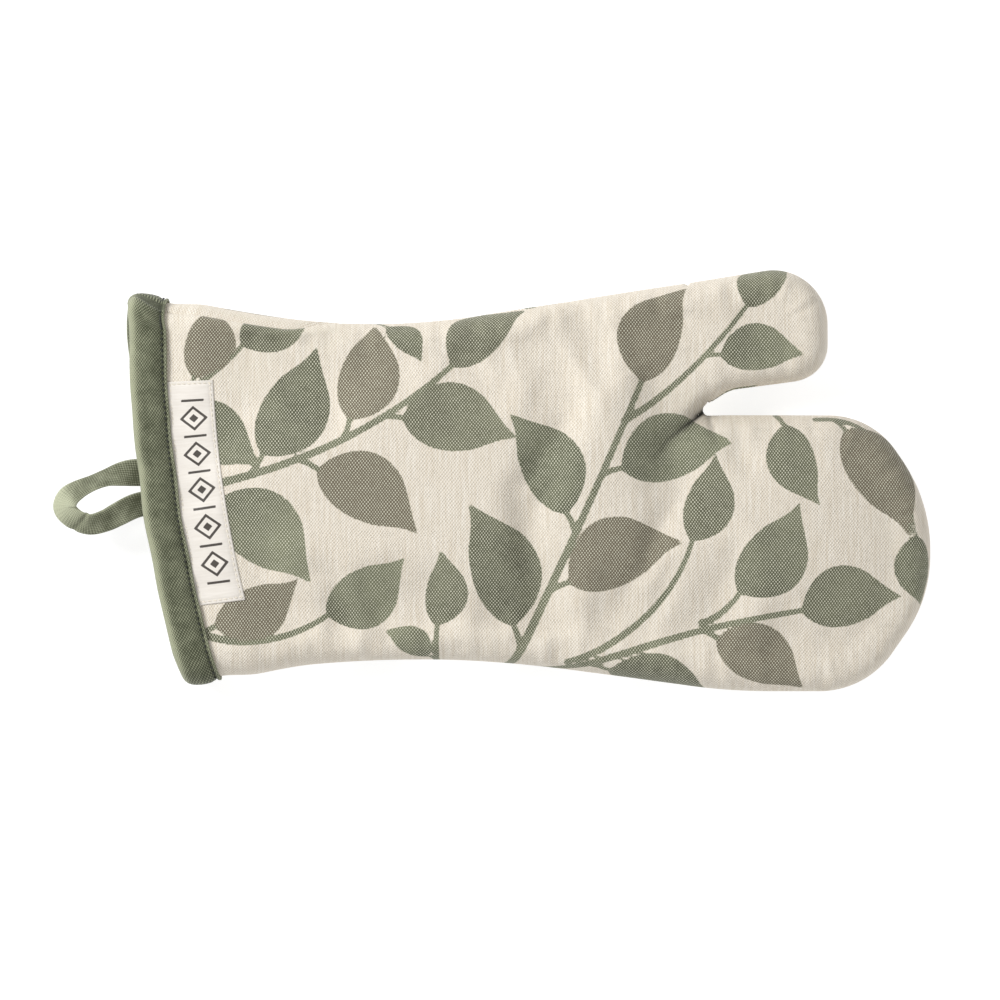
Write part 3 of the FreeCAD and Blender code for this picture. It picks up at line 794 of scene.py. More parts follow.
@dataclass(frozen=True)
class Leaf:
    """One printed leaf: a rounded foot, a full side and a drawn-out tip."""

    base: Pair
    heading: float
    length: float
    width: float
    bend: float
    tone: float
    fade: float

    def depth(self, cloth: Array) -> Array:
        """Measure how far inside the leaf the cloth is.

        Args:
            cloth: flat places in mm.

        Returns:
            Depth inside the leaf, negative outside.
        """
        off = cloth - np.array(self.base)
        c, s = math.cos(self.heading), math.sin(self.heading)
        along = (off[:, 0] * c + off[:, 1] * s) / self.length
        across = -off[:, 0] * s + off[:, 1] * c
        u = np.clip(along, 0, 1)
        hook = 0.5 * np.clip((u - LEAF_TIP) / (1 - LEAF_TIP), 0, 1) ** 2
        across = across - self.bend * self.length * (u * (1 - u) - 0.25 * hook)
        swollen = np.sin(math.pi * np.clip(u, 1e-6, 1) ** 0.76) ** 0.84
        half = self.width / 2 * swollen * (1 - 0.42 * smooth(LEAF_TIP, 1.0, u))
        fuller = 1 + 0.16 * np.sign(self.bend) * np.tanh(across / 2)
        beyond = np.maximum(-along, along - 1) * self.length
        return np.where(beyond > 0, -np.hypot(beyond, across), (half * fuller - np.abs(across)) / 1.2)

    def places(self) -> Array:
        """Spread places over the leaf, by which its distance from others is judged.

        Returns:
            Flat places in mm.
        """
        along, across = np.meshgrid(np.linspace(0.06, 1, 15), np.linspace(-0.6, 0.6, 11))
        off = np.column_stack((along.ravel() * self.length, across.ravel() * self.width))
        c, s = math.cos(self.heading), math.sin(self.heading)
        laid = off @ np.array(((c, s), (-s, c))) + np.array(self.base)
        return laid[self.depth(laid) > -0.3]


@dataclass(frozen=True)
class Stalk:
    """A printed stem that narrows along its path."""

    path: Array
    foot_width: float
    tip_width: float

    def depth(self, cloth: Array) -> Array:
        """Measure how far inside the stem the cloth is.

        Args:
            cloth: flat places in mm.

        Returns:
            Depth inside the stem, negative outside.
        """
        widths = np.linspace(self.foot_width, self.tip_width, len(self.path))
        best = np.full(len(cloth), BARE)
        for i in range(len(self.path) - 1):
            run = self.path[i + 1] - self.path[i]
            t = np.clip(((cloth - self.path[i]) @ run) / max(run @ run, 1e-9), 0, 1)
            away = np.linalg.norm(cloth - self.path[i] - t[:, None] * run, axis=1)
            best = np.maximum(best, (widths[i] + (widths[i + 1] - widths[i]) * t) / 2 - away)
        return best


@dataclass(frozen=True)
class Sprig:
    """A stem bent through three points, with leaves on alternate sides."""

    start: Pair
    pull: Pair
    end: Pair
    leaves: int
    first: float
    size: float
    side: int
    stem: float = 2.4
    last: float = 0.88

    def point(self, t: float | Array) -> Array:
        """Place on the stem, from 0 at its foot to 1 at its tip."""
        t = np.asarray(t, float)[..., None]
        a, b, c = (np.array(p, float) for p in (self.start, self.pull, self.end))
        return (1 - t) ** 2 * a + 2 * t * (1 - t) * b + t**2 * c

    def heading(self, t: float) -> float:
        """Direction of the stem at a place on it."""
        a, b, c = (np.array(p, float) for p in (self.start, self.pull, self.end))
        way = (1 - t) * (b - a) + t * (c - b)
        return math.atan2(way[1], way[0])

    def stem_stalk(self) -> Stalk:
        """The stem itself, thicker at its foot."""
        return Stalk(self.point(np.linspace(0, 1, 22)), self.stem * 1.25, self.stem * 0.8)

    def grow(self, draw: np.random.Generator, taken: list[Leaf | Stalk]) -> tuple[list[Leaf], list[Stalk]]:
        """Grow the leaves and stalks, each leaf small enough to keep clear of what is there.

        Args:
            draw: settled random draws.
            taken: leaves and other sprigs' stems already laid out.

        Returns:
            The leaves and the stalks.
        """
        leaves, stalks = [], [self.stem_stalk()]
        for i in (self.leaves, *range(self.leaves)):
            tip = i == self.leaves
            t = 1.0 if tip else self.first + (self.last - self.first) * i / max(self.leaves - 1, 1)
            side = self.side * (1 if i % 2 == 0 else -1)
            foot, head = self.point(t), self.heading(t)
            spread = 0.0 if tip else math.radians(46 + draw.uniform(-5, 7)) * side
            length = self.size * (0.9 if tip else (1.06 - 0.16 * t) * draw.uniform(0.95, 1.06))
            slim, stalk = draw.uniform(0.54, 0.62), 0.0 if tip else draw.uniform(0.14, 0.2)
            tone = 0.95 if draw.random() > 0.86 else draw.uniform(0, 0.2)
            bend, fade = -0.3 * side * draw.uniform(0.4, 0.9), draw.uniform(0, 1)
            way = np.array((math.cos(head + spread), math.sin(head + spread)))
            turn = np.array((math.cos(head + spread * 0.8), math.sin(head + spread * 0.8)))
            for share in SPRIG_SHRINK:
                size = length * share
                knee = foot + stalk * size * 0.55 * turn
                base = knee + stalk * size * 0.55 * way
                root = (float(base[0]), float(base[1]))
                leaf = Leaf(root, head + spread, size, size * slim, bend, tone, fade)
                spots = leaf.places()
                if all(other.depth(spots).max() < -SPRIG_GAP for other in [*taken, *leaves]):
                    leaves.append(leaf)
                    if not tip:
                        path = np.array((foot, knee, base, base + 3 * way))
                        stalks.append(Stalk(path, self.stem * 0.85, self.stem * 0.7))
                    break
        return leaves, stalks


@dataclass(frozen=True)
class SprigPrint:
    """The cloth's print: leafy sprigs laid out over the flat pattern."""

    seed: int = 7
    stem_tone: float = 0.05
    stem_fade: float = 0.35
    # The back is cut from the same cloth turned half round: its places count back from this one.
    back_turn: Pair = (18.0, -6.0)
    sprigs: tuple[Sprig, ...] = (
        Sprig((2, -88), (34, -22), (60, 40), 5, 0.15, 48, 1, 3.0),
        Sprig((8, -88), (60, -62), (124, -52), 4, 0.28, 45, -1, 2.9),
        Sprig((-136, -6), (-62, 4), (-16, 46), 6, 0.13, 47, -1, 2.9),
        Sprig((-132, -52), (-94, -74), (-66, -54), 2, 0.20, 43, 1, 2.8),
        Sprig((-22, -92), (-23, -72), (-22, -58), 2, 0.45, 34, 1, 2.5),
        Sprig((130, 27), (160, 30), (170, -22), 3, 0.12, 46, -1, 2.7),
        Sprig((-150, 22), (-122, 30), (-100, 54), 3, 0.22, 42, -1, 2.5),
        Sprig((53, 24), (78, 38), (102, 70), 3, 0.42, 36, 1, 2.4),
        Sprig((-72, 96), (-56, 80), (-42, 64), 1, 0.4, 36, 1, 2.3),
        Sprig((18, 96), (12, 84), (8, 74), 1, 0.3, 36, 1, 2.3),
        Sprig((30, -74), (70, -58), (80, -24), 2, 0.66, 40, 1, 2.5),
        Sprig((84, -57), (92, -55), (99, -45), 0, 0, 48, 1, 2.5),
        Sprig((114, 31), (115, 28), (117, 23), 0, 0, 40, 1, 2.4),
    )

    def paint(self, cloth: Array, side: Side) -> dict[str, Array]:
        """Work out the print at places of the flat cloth.

        Args:
            cloth: places in mm.
            side: the back panel is cut from another stretch of the same cloth, turned round.

        Returns:
            Per place: depth inside the print, its tone, and how far it is faded.
        """
        if side is Side.BACK:
            cloth = np.array(self.back_turn) - cloth
        draw = np.random.default_rng(self.seed)
        depth = np.full(len(cloth), BARE)
        tone = np.zeros(len(cloth))
        fade = np.zeros(len(cloth))
        placed: list[Leaf] = []
        for sprig in self.sprigs:
            others = [other.stem_stalk() for other in self.sprigs if other is not sprig]
            leaves, stalks = sprig.grow(draw, [*placed, *others])
            placed += leaves
            for stalk in stalks:
                found = stalk.depth(cloth)
                better = found > depth
                depth[better], tone[better], fade[better] = found[better], self.stem_tone, self.stem_fade
            for leaf in leaves:
                found = leaf.depth(cloth)
                better = found > depth
                way = np.array((math.cos(leaf.heading), math.sin(leaf.heading)))
                along = (cloth - np.array(leaf.base)) @ way
                depth[better], tone[better] = found[better], leaf.tone
                fade[better] = (leaf.fade * np.clip(along / leaf.length, 0, 1))[better]
        return {"print_depth": np.clip(depth, -4, 9), "print_tone": tone, "print_fade": fade}


# -------- swell by cloth simulation


@dataclass
class SwellField:
    """Height that the simulated cloth gained, on an even grid over the plan."""

    low: Pair = (-186.0, -96.0)
    cell: float = 2.0
    shape: tuple[int, int] = (186, 96)
    heights: Array | None = None

    def gather(self, plan: Array, height: Array, spread: float) -> None:
        """Spread scattered heights over the grid.

        Args:
            plan: where the heights were measured.
            height: the heights, in mm.
            spread: how far each one spreads, in mm.
        """
        total = np.zeros(self.shape)
        weight = np.full(self.shape, 1e-6)
        near = int(3 * spread / self.cell)
        centre = np.round((plan - np.array(self.low)) / self.cell).astype(int)
        for dx in range(-near, near + 1):
            for dy in range(-near, near + 1):
                i = np.clip(centre[:, 0] + dx, 0, self.shape[0] - 1)
                j = np.clip(centre[:, 1] + dy, 0, self.shape[1] - 1)
                spot = np.array(self.low) + np.stack((i, j), 1) * self.cell
                share = np.exp(-((spot - plan) ** 2).sum(1) / (2 * spread**2))
                np.add.at(total, (i, j), share * height)
                np.add.at(weight, (i, j), share)
        self.heights = total / weight

    def sample(self, plan: Array) -> Array:
        """Read the height smoothly between the grid's points.

        Args:
            plan: places to read at.

        Returns:
            Height in mm at each place.
        """
        at = (plan - np.array(self.low)) / self.cell
        i = np.clip(np.floor(at).astype(int), 0, np.array(self.shape) - 2)
        f = np.clip(at - i, 0, 1)
        f = f * f * (3 - 2 * f)
        h = self.heights
        low = h[i[:, 0], i[:, 1]] * (1 - f[:, 0]) + h[i[:, 0] + 1, i[:, 1]] * f[:, 0]
        high = h[i[:, 0], i[:, 1] + 1] * (1 - f[:, 0]) + h[i[:, 0] + 1, i[:, 1] + 1] * f[:, 0]
        return low * (1 - f[:, 1]) + high * f[:, 1]


@dataclass
class PaddedSwell:
    """A coarse closed bag of the mitt's form, blown up a little so that its cloth buckles."""

    form: Form
    spacing: float = 4.2
    frames: int = 22
    pressure: float = 3.0
    ease: float = -0.028
    cap: float = 3.2
    # The back lies on the table, so it can hardly be pushed out, only drawn in.
    back_cap: float = 0.1
    gain: float = 1.25
    blur: float = 2.4
    # Distance from the edge over which the bag's even rise is taken off again.
    edge_run: float = 16.0
    cuff_radius: float = 470.0

    def run(self) -> None:
        """Simulate, and leave what the cloth gained in the form's swell fields."""
        plan = Plan(self.form.outline, self.spacing, self.cuff_radius, (2.0, 5.5, 9.5))
        front = self.form.place(plan.at, Side.FRONT, 0.0)
        back = self.form.place(plan.at, Side.BACK, 0.0)
        count = len(front)
        edges = border_edges(plan.triangles)
        on_edge = plan.at.reach < 0.3
        weld = np.arange(count) + count
        weld[on_edge] = np.flatnonzero(on_edge)
        quads = [(b, a, weld[a], weld[b]) for a, b in edges if not (on_edge[a] and on_edge[b])]
        faces = [tuple(t) for t in plan.triangles] + [tuple(weld[t[::-1]]) for t in plan.triangles]
        for quad in quads:
            ring = list(dict.fromkeys(int(v) for v in quad))
            if len(ring) >= 3:
                faces.append(tuple(ring))
        verts = np.concatenate((front, back)) * MM
        mesh = bpy.data.meshes.new("swell_bag")
        mesh.from_pydata(verts.tolist(), [], [tuple(int(v) for v in f) for f in faces])
        bag = bpy.data.objects.new("swell_bag", mesh)
        bpy.context.scene.collection.objects.link(bag)
        held = bag.vertex_groups.new(name="held")
        fixed = on_edge | (plan.at.cuff > self.cuff_radius - 1.0)
        numbers = np.flatnonzero(fixed)
        held.add([int(n) for n in numbers] + [int(n) + count for n in numbers], 1.0, "REPLACE")
        cloth = bag.modifiers.new("Cloth", "CLOTH")
        # A limp cotton: it hardly stretches, and folds easily.
        for name, value in {
            "quality": 6, "mass": 0.25, "tension_stiffness": 12, "compression_stiffness": 12,
            "shear_stiffness": 4, "bending_stiffness": 0.4, "use_pressure": True,
            "uniform_pressure_force": self.pressure, "shrink_min": self.ease, "vertex_group_mass": "held",
        }.items():
            setattr(cloth.settings, name, value)
        cloth.settings.effector_weights.gravity = 0
        cloth.point_cache.frame_start = 1
        cloth.point_cache.frame_end = self.frames
        scene = bpy.context.scene
        for number in range(1, self.frames + 1):
            scene.frame_set(number)
        made = bag.evaluated_get(bpy.context.evaluated_depsgraph_get())
        after = np.array([v.co for v in made.data.vertices]) / MM
        scene.frame_set(1)
        gained = after[:, 2] - verts[:, 2] / MM
        bpy.data.objects.remove(bag)
        for side, low in ((Side.FRONT, 0), (Side.BACK, count)):
            height = gained[low : low + count] * side.value
            free = ~fixed
            level = np.median(height[free & (plan.at.reach > self.edge_run)])
            height = np.where(fixed, 0.0, height - level * smooth(0, self.edge_run, plan.at.reach))
            LOG.info("swell %s: level %.2f, spread %.2f mm", side.name, level, float(height[free].std()))
            grid = SwellField()
            most = self.cap if side is Side.FRONT else self.back_cap
            grid.gather(plan.at.plan, np.clip(self.gain * height, -self.cap, most), self.blur)
            self.form.swell[side] = grid


# -------- meshes


def border_edges(triangles: Array) -> list[tuple[int, int]]:
    """Find the edges that only one triangle uses.

    Args:
        triangles: point numbers of each triangle.

    Returns:
        The edges, each in its triangle's direction.
    """
    pairs = np.concatenate((triangles[:, [0, 1]], triangles[:, [1, 2]], triangles[:, [2, 0]]))
    big = int(triangles.max()) + 1
    code = pairs[:, 0] * big + pairs[:, 1]
    twin = pairs[:, 1] * big + pairs[:, 0]
    alone = ~np.isin(code, twin)
    return [tuple(pair) for pair in pairs[alone].tolist()]


def point_normals(points: Array, triangles: Array) -> Array:
    """Work out smooth normals, weighted by the area of the triangles.

    Args:
        points: the mesh's points.
        triangles: point numbers of each triangle.

    Returns:
        The unit normal at each point.
    """
    a, b, c = (points[triangles[:, k]] for k in range(3))
    flat = np.cross(b - a, c - a)
    total = np.zeros_like(points)
    for k in range(3):
        np.add.at(total, triangles[:, k], flat)
    return unit(total)


@dataclass
class Build:
    """A mesh in the making, in mm, with per-point values and optional corner normals."""

    points: Array
    faces: list
    values: dict[str, Array] = field(default_factory=dict)
    corner_normals: Array | None = None
    bake: Array | None = None

    def make(self, name: str, material: Material) -> bpy.types.Object:
        """Make the Blender object.

        Args:
            name: the piece's name.
            material: its finish.

        Returns:
            The linked object.
        """
        mesh = bpy.data.meshes.new(name)
        mesh.from_pydata((self.points * MM).tolist(), [], self.faces)
        for key, value in self.values.items():
            value = np.asarray(value, np.float32)
            if value.ndim == 1:
                mesh.attributes.new(key, "FLOAT", "POINT").data.foreach_set("value", value)
            else:
                wide = np.zeros((len(value), 3), np.float32)
                wide[:, : value.shape[1]] = value
                mesh.attributes.new(key, "FLOAT_VECTOR", "POINT").data.foreach_set("vector", wide.ravel())
        mesh.polygons.foreach_set("use_smooth", np.ones(len(mesh.polygons), bool))
        if self.bake is not None:
            order = np.zeros(len(mesh.loops), np.int32)
            mesh.loops.foreach_get("vertex_index", order)
            layer = mesh.uv_layers.new(name="OFBake")
            layer.data.foreach_set("uv", self.bake[order].astype(np.float32).ravel())
        mesh.update()
        if self.corner_normals is not None:
            mesh.normals_split_custom_set(self.corner_normals.tolist())
        mesh.materials.append(material)
        made = bpy.data.objects.new(name, mesh)
        bpy.context.scene.collection.objects.link(made)
        LOG.info("%s: %d points, %d faces", name, len(mesh.vertices), len(mesh.polygons))
        return made


def capsules(
    centres: Array, along: Array, up: Array, length: float, radius: float, sides: int = 6
) -> Build:
    """Short round-ended stitches, one at each place.

    Args:
        centres: the stitches' middles.
        along: direction of each stitch.
        up: outward direction at each stitch.
        length: whole length of a stitch.
        radius: thread radius.
        sides: facets round the thread.

    Returns:
        One mesh of closed stitches.
    """
    along = unit(along)
    side = unit(np.cross(up, along))
    up = np.cross(along, side)
    stops = np.array((-0.5, -0.44, -0.3, 0.0, 0.3, 0.44, 0.5)) * length
    swell = np.array((0.0, 0.62, 0.95, 1.0, 0.95, 0.62, 0.0)) * radius
    angles = np.arange(sides) * 2 * math.pi / sides
    template = [(stops[0], 0.0, 0.0)]
    for stop, thick in zip(stops[1:-1], swell[1:-1]):
        template += [(stop, thick * math.cos(a), thick * math.sin(a)) for a in angles]
    template.append((stops[-1], 0.0, 0.0))
    shape = np.array(template)
    faces = [(0, 1 + (k + 1) % sides, 1 + k) for k in range(sides)]
    for ring in range(len(stops) - 3):
        low = 1 + ring * sides
        for k in range(sides):
            after = (k + 1) % sides
            faces.append((low + k, low + after, low + sides + after, low + sides + k))
    end = len(shape) - 1
    low = end - sides
    faces += [(low + k, low + (k + 1) % sides, end) for k in range(sides)]
    base = np.stack((along, side, up), 1)
    points = centres[:, None, :] + np.einsum("pk,nkj->npj", shape, base)
    every = [tuple(v + i * len(shape) for v in f) for i in range(len(centres)) for f in faces]
    return Build(points.reshape(-1, 3), every)


def layer_solid(outer: Array, inner: Array, triangles: Array, shading: Array) -> Build:
    """Close a layer between its outer and inner surfaces.

    Args:
        outer: outer points of the whole plan.
        inner: inner points of the whole plan.
        triangles: this part's triangles, counter-clockwise from outside.
        shading: smooth normals of the outer points, shared across the part's edges.

    Returns:
        The closed layer; point numbers follow `used`, outer first.
    """
    used = np.unique(triangles)
    number = np.full(len(outer), -1)
    number[used] = np.arange(len(used))
    local = number[triangles]
    count = len(used)
    strip = np.array([(b, a, a + count, b + count) for a, b in border_edges(local)])
    faces = local.tolist() + (local[:, ::-1] + count).tolist() + strip.tolist()
    normals = shading[used]
    points = np.concatenate((outer[used], inner[used]))
    first = points[strip[:, 0]]
    flat = unit(np.cross(points[strip[:, 1]] - first, points[strip[:, 3]] - first))
    corners = np.concatenate(
        (normals[local].reshape(-1, 3), -normals[local[:, ::-1]].reshape(-1, 3), np.repeat(flat, 4, 0))
    )
    build = Build(points, faces)
    build.corner_normals = corners
    build.values["used"] = np.concatenate((used, used)).astype(np.float32)
    return build


# -------- finishes

# Settings that several nodes share.
MIX = {"data_type": "RGBA"}
MULTIPLY_ADD = {"operation": "MULTIPLY_ADD"}
EASED = {"interpolation_type": "SMOOTHSTEP"}

@dataclass(frozen=True)
class WovenLook:
    """Spacing of a plain weave's knots across and from row to row, and their height, in mm.

    Real threads lie about 0.83 mm apart.  They are drawn coarser across, or they would not show.
    """

    across: float = 1.22
    rows: float = 0.78
    height: float = 0.14

    def knots(self, tree: bpy.types.NodeTree) -> tuple[bpy.types.NodeSocket, bpy.types.NodeSocket]:
        """Build the weave's pattern.

        Args:
            tree: the material's nodes.

        Returns:
            Knot height from -1 to 1, and the wavering cloth place in mm.
        """
        place = add_node(tree, "Attribute", {"attribute_name": "cloth"})
        drift = add_node(
            tree, "TexNoise", {}, {"Vector": place.outputs["Vector"], "Scale": 0.11, "Detail": 2.0}
        )
        centred = add_node(
            tree, "VectorMath", {"operation": "SUBTRACT"}, {0: drift.outputs["Color"], 1: (0.5, 0.5, 0.5)}
        )
        pulled = add_node(tree, "VectorMath", {"operation": "SCALE"}, {0: centred.outputs[0], "Scale": 1.6})
        moved = add_node(
            tree, "VectorMath", {"operation": "ADD"}, {0: place.outputs["Vector"], 1: pulled.outputs[0]}
        )
        parts = add_node(tree, "SeparateXYZ", {}, {0: moved.outputs[0]})
        waves = []
        for axis, period in ((0, self.across), (1, 2 * self.rows)):
            turned = add_node(
                tree, "Math", {"operation": "MULTIPLY"}, {0: parts.outputs[axis], 1: 2 * math.pi / period}
            )
            waves.append(add_node(tree, "Math", {"operation": "COSINE"}, {0: turned.outputs[0]}))
        knots = add_node(
            tree, "Math", {"operation": "MULTIPLY"}, {0: waves[0].outputs[0], 1: waves[1].outputs[0]}
        )
        thread = add_node(
            tree, "TexNoise", {}, {"Vector": moved.outputs[0], "Scale": 0.55 / self.across, "Detail": 2.0}
        )
        strength = add_node(
            tree, "MapRange", {}, {0: thread.outputs["Fac"], 1: 0.3, 2: 0.7, 3: 0.55, 4: 1.3}
        )
        uneven = add_node(
            tree, "Math", {"operation": "MULTIPLY"}, {0: knots.outputs[0], 1: strength.outputs[0]}
        )
        return uneven.outputs[0], moved.outputs[0]


def new_material(name: str, **even: float) -> tuple[Material, bpy.types.NodeTree, bpy.types.Node]:
    """Start a material.

    Args:
        name: the finish's name.
        even: the shader's values that are the same all over, by socket name with _ for a space.

    Returns:
        The material, its nodes and its Principled shader.
    """
    material = bpy.data.materials.new(name)
    material.use_nodes = True
    tree = material.node_tree
    tree.nodes.clear()
    sockets = {key.replace("_", " "): value for key, value in even.items()}
    shader = add_node(tree, "BsdfPrincipled", {}, sockets)
    add_node(tree, "OutputMaterial", {}, {"Surface": shader.outputs[0]})
    return material, tree, shader


@dataclass(frozen=True)
class PrintedDuck:
    """Cotton duck, plain woven and screen printed: matt, dotted by its knots, ink thinner on the knots."""

    ground: str = "#F0EADF"
    ground_shade: str = "#CFC3AF"
    sage: str = "#464936"
    sage_pale: str = "#75785F"
    taupe: str = "#6B6151"
    knot: str = "#D6D5C0"
    # Near-black of the painted shade in pinched folds.
    hollow: str = "#1C1B15"
    weave: WovenLook = WovenLook()

    def material(self) -> Material:
        """Build the finish.

        Returns:
            The material.
        """
        material, tree, shader = new_material(
            "printed_cotton_duck",
            Roughness=0.86, Sheen_Weight=0.12, Sheen_Roughness=0.5, Specular_IOR_Level=0.25,
        )
        knots, place = self.weave.knots(tree)
        values = {
            name: add_node(tree, "Attribute", {"attribute_name": name})
            for name in ("print_depth", "print_tone", "print_fade")
        }
        # Ink spreads along single threads, so the print's edge is toothed by a fraction of a thread.
        teeth = add_node(
            tree, "TexNoise", {}, {"Vector": place, "Scale": 0.9, "Detail": 2.0, "Roughness": 0.6}
        )
        ragged = add_node(
            tree, "Math", MULTIPLY_ADD,
            {0: teeth.outputs["Fac"], 1: 0.9, 2: values["print_depth"].outputs["Fac"]},
        )
        edge = add_node(tree, "Math", MULTIPLY_ADD, {0: knots, 1: 0.16, 2: ragged.outputs[0]})
        inked = add_node(tree, "MapRange", EASED, {0: edge.outputs[0], 1: 0.27, 2: 0.67})
        # Hand mixed ink lies thicker in places.
        cloud = add_node(
            tree, "TexNoise", {}, {"Vector": place, "Scale": 0.055, "Detail": 3.0, "Roughness": 0.55}
        )
        patch = add_node(tree, "MapRange", {}, {0: cloud.outputs["Fac"], 1: 0.38, 2: 0.66})
        paler = add_node(
            tree, "Math", {"operation": "MULTIPLY_ADD", "use_clamp": True},
            {0: patch.outputs[0], 1: 0.45, 2: values["print_fade"].outputs["Fac"]},
        )
        green = add_node(
            tree, "Mix", MIX, {0: paler.outputs[0], 6: linear(self.sage), 7: linear(self.sage_pale)}
        )
        ink = add_node(
            tree, "Mix", MIX,
            {0: values["print_tone"].outputs["Fac"], 6: green.outputs[2], 7: linear(self.taupe)},
        )
        # The knots of the weave keep less ink than the hollows between them.
        worn = add_node(tree, "MapRange", EASED, {0: knots, 1: -0.2, 2: 0.9, 3: 0.0, 4: 0.95})
        dotted = add_node(tree, "Mix", MIX, {0: worn.outputs[0], 6: ink.outputs[2], 7: linear(self.knot)})
        slub = add_node(tree, "Mapping", {"vector_type": "POINT"}, {0: place, 3: (1.4, 0.05, 1.0)})
        ribs = add_node(tree, "TexNoise", {}, {"Vector": slub.outputs[0], "Scale": 1.0, "Detail": 1.0})
        shade = add_node(tree, "Math", MULTIPLY_ADD, {0: knots, 1: -0.5, 2: ribs.outputs["Fac"]})
        ground = add_node(
            tree, "Mix", MIX, {0: shade.outputs[0], 6: linear(self.ground), 7: linear(self.ground_shade)}
        )
        colour = add_node(
            tree, "Mix", MIX, {0: inked.outputs[0], 6: ground.outputs[2], 7: dotted.outputs[2]}
        )
        # Painted shade: the colour goes toward a near-black where a fold is pinched shut, for the light that
        # does not reach in.
        pinch = add_node(tree, "Attribute", {"attribute_name": "pinch"})
        colour = add_node(
            tree, "Mix", MIX, {0: pinch.outputs["Fac"], 6: colour.outputs[2], 7: linear(self.hollow)}
        )
        bump = add_node(
            tree, "Bump", {}, {"Strength": 0.8, "Distance": self.weave.height * MM, "Height": knots}
        )
        tree.links.new(colour.outputs[2], shader.inputs["Base Color"])
        tree.links.new(bump.outputs[0], shader.inputs["Normal"])
        return material


@dataclass(frozen=True)
class DyedCloth:
    """Cloth of one dye: cotton bias binding, bias tape, calico lining or wadding."""

    name: str
    colour: str
    light: str
    weave: WovenLook = WovenLook()
    contrast: float = 0.5
    roughness: float = 0.85
    sheen: float = 0.15

    def material(self) -> Material:
        """Build the finish: dyed threads whose knots are lighter, with painted light and shade added where a
        piece gives it per point.

        Returns:
            The material.
        """
        material, tree, shader = new_material(
            self.name,
            Roughness=self.roughness, Sheen_Weight=self.sheen, Sheen_Roughness=0.45, Specular_IOR_Level=0.25,
        )
        knots, place = self.weave.knots(tree)
        cloud = add_node(
            tree, "TexNoise", {}, {"Vector": place, "Scale": 0.12, "Detail": 3.0, "Roughness": 0.6}
        )
        # Painted light and shade, given per point by the binding and the tape: lighter where a fold would
        # catch the light, darker where it would lie in shade.
        worn = add_node(tree, "Attribute", {"attribute_name": "worn"})
        lit = add_node(
            tree, "Math", MULTIPLY_ADD, {0: knots, 1: 0.5 * self.contrast, 2: cloud.outputs["Fac"]}
        )
        lifted = add_node(tree, "Math", {"operation": "ADD"}, {0: lit.outputs[0], 1: worn.outputs["Fac"]})
        share = add_node(tree, "MapRange", {}, {0: lifted.outputs[0], 1: 0.25, 2: 1.25})
        colour = add_node(
            tree, "Mix", MIX, {0: share.outputs[0], 6: linear(self.colour), 7: linear(self.light)}
        )
        bump = add_node(
            tree, "Bump", {}, {"Strength": 0.6, "Distance": self.weave.height * MM, "Height": knots}
        )
        tree.links.new(colour.outputs[2], shader.inputs["Base Color"])
        tree.links.new(bump.outputs[0], shader.inputs["Normal"])
        return material


@dataclass(frozen=True)
class LabelSatin:
    """Polyester satin ribbon, woven: off-white, softly shining, with a charcoal woven motif."""

    ground: str = "#EDE8E1"
    shade: str = "#D9D2C8"
    mark: str = "#4A4540"

    def material(self) -> Material:
        """Build the finish.

        Returns:
            The material.
        """
        material, tree, shader = new_material(
            "woven_label_satin", Roughness=0.48, Anisotropic=0.4, Specular_IOR_Level=0.4
        )
        place = add_node(tree, "Attribute", {"attribute_name": "cloth"})
        # Warp threads 0.25 mm apart, drawn 0.8 mm apart so that they show.
        warp = add_node(
            tree, "Mapping", {"vector_type": "POINT"}, {0: place.outputs["Vector"], 3: (0.12, 1.3, 1.0)}
        )
        threads = add_node(tree, "TexNoise", {}, {"Vector": warp.outputs[0], "Scale": 1.0, "Detail": 2.0})
        ground = add_node(
            tree, "Mix", MIX, {0: threads.outputs["Fac"], 6: linear(self.ground), 7: linear(self.shade)}
        )
        motif = add_node(tree, "Attribute", {"attribute_name": "motif"})
        marked = add_node(tree, "MapRange", EASED, {0: motif.outputs["Fac"], 1: -0.1, 2: 0.14})
        colour = add_node(
            tree, "Mix", MIX, {0: marked.outputs[0], 6: ground.outputs[2], 7: linear(self.mark)}
        )
        bump = add_node(
            tree, "Bump", {}, {"Strength": 0.4, "Distance": 0.08 * MM, "Height": threads.outputs["Fac"]}
        )
        tree.links.new(colour.outputs[2], shader.inputs["Base Color"])
        tree.links.new(bump.outputs[0], shader.inputs["Normal"])
        return material


@dataclass(frozen=True)
class SewingThread:
    """Spun polyester thread, twisted: a fine diagonal lay and a slight shine."""

    name: str
    colour: str
    light: str

    def material(self) -> Material:
        """Build the finish.

        Returns:
            The material.
        """
        material, tree, shader = new_material(self.name, Roughness=0.6, Sheen_Weight=0.1)
        place = add_node(tree, "TexCoord")
        lay = add_node(
            tree, "TexNoise", {},
            {"Vector": place.outputs["Object"], "Scale": 1 / (0.6 * MM), "Detail": 1.0},
        )
        colour = add_node(
            tree, "Mix", MIX, {0: lay.outputs["Fac"], 6: linear(self.colour), 7: linear(self.light)}
        )
        tree.links.new(colour.outputs[2], shader.inputs["Base Color"])
        return material


# -------- sub-assemblies


@dataclass(frozen=True)
class Layer:
    """One layer of a padded wall: its depths, mesh spacing and CAD node name."""

    node: str
    outer: float
    inner: float
    spacing: float
    cuff_radius: float


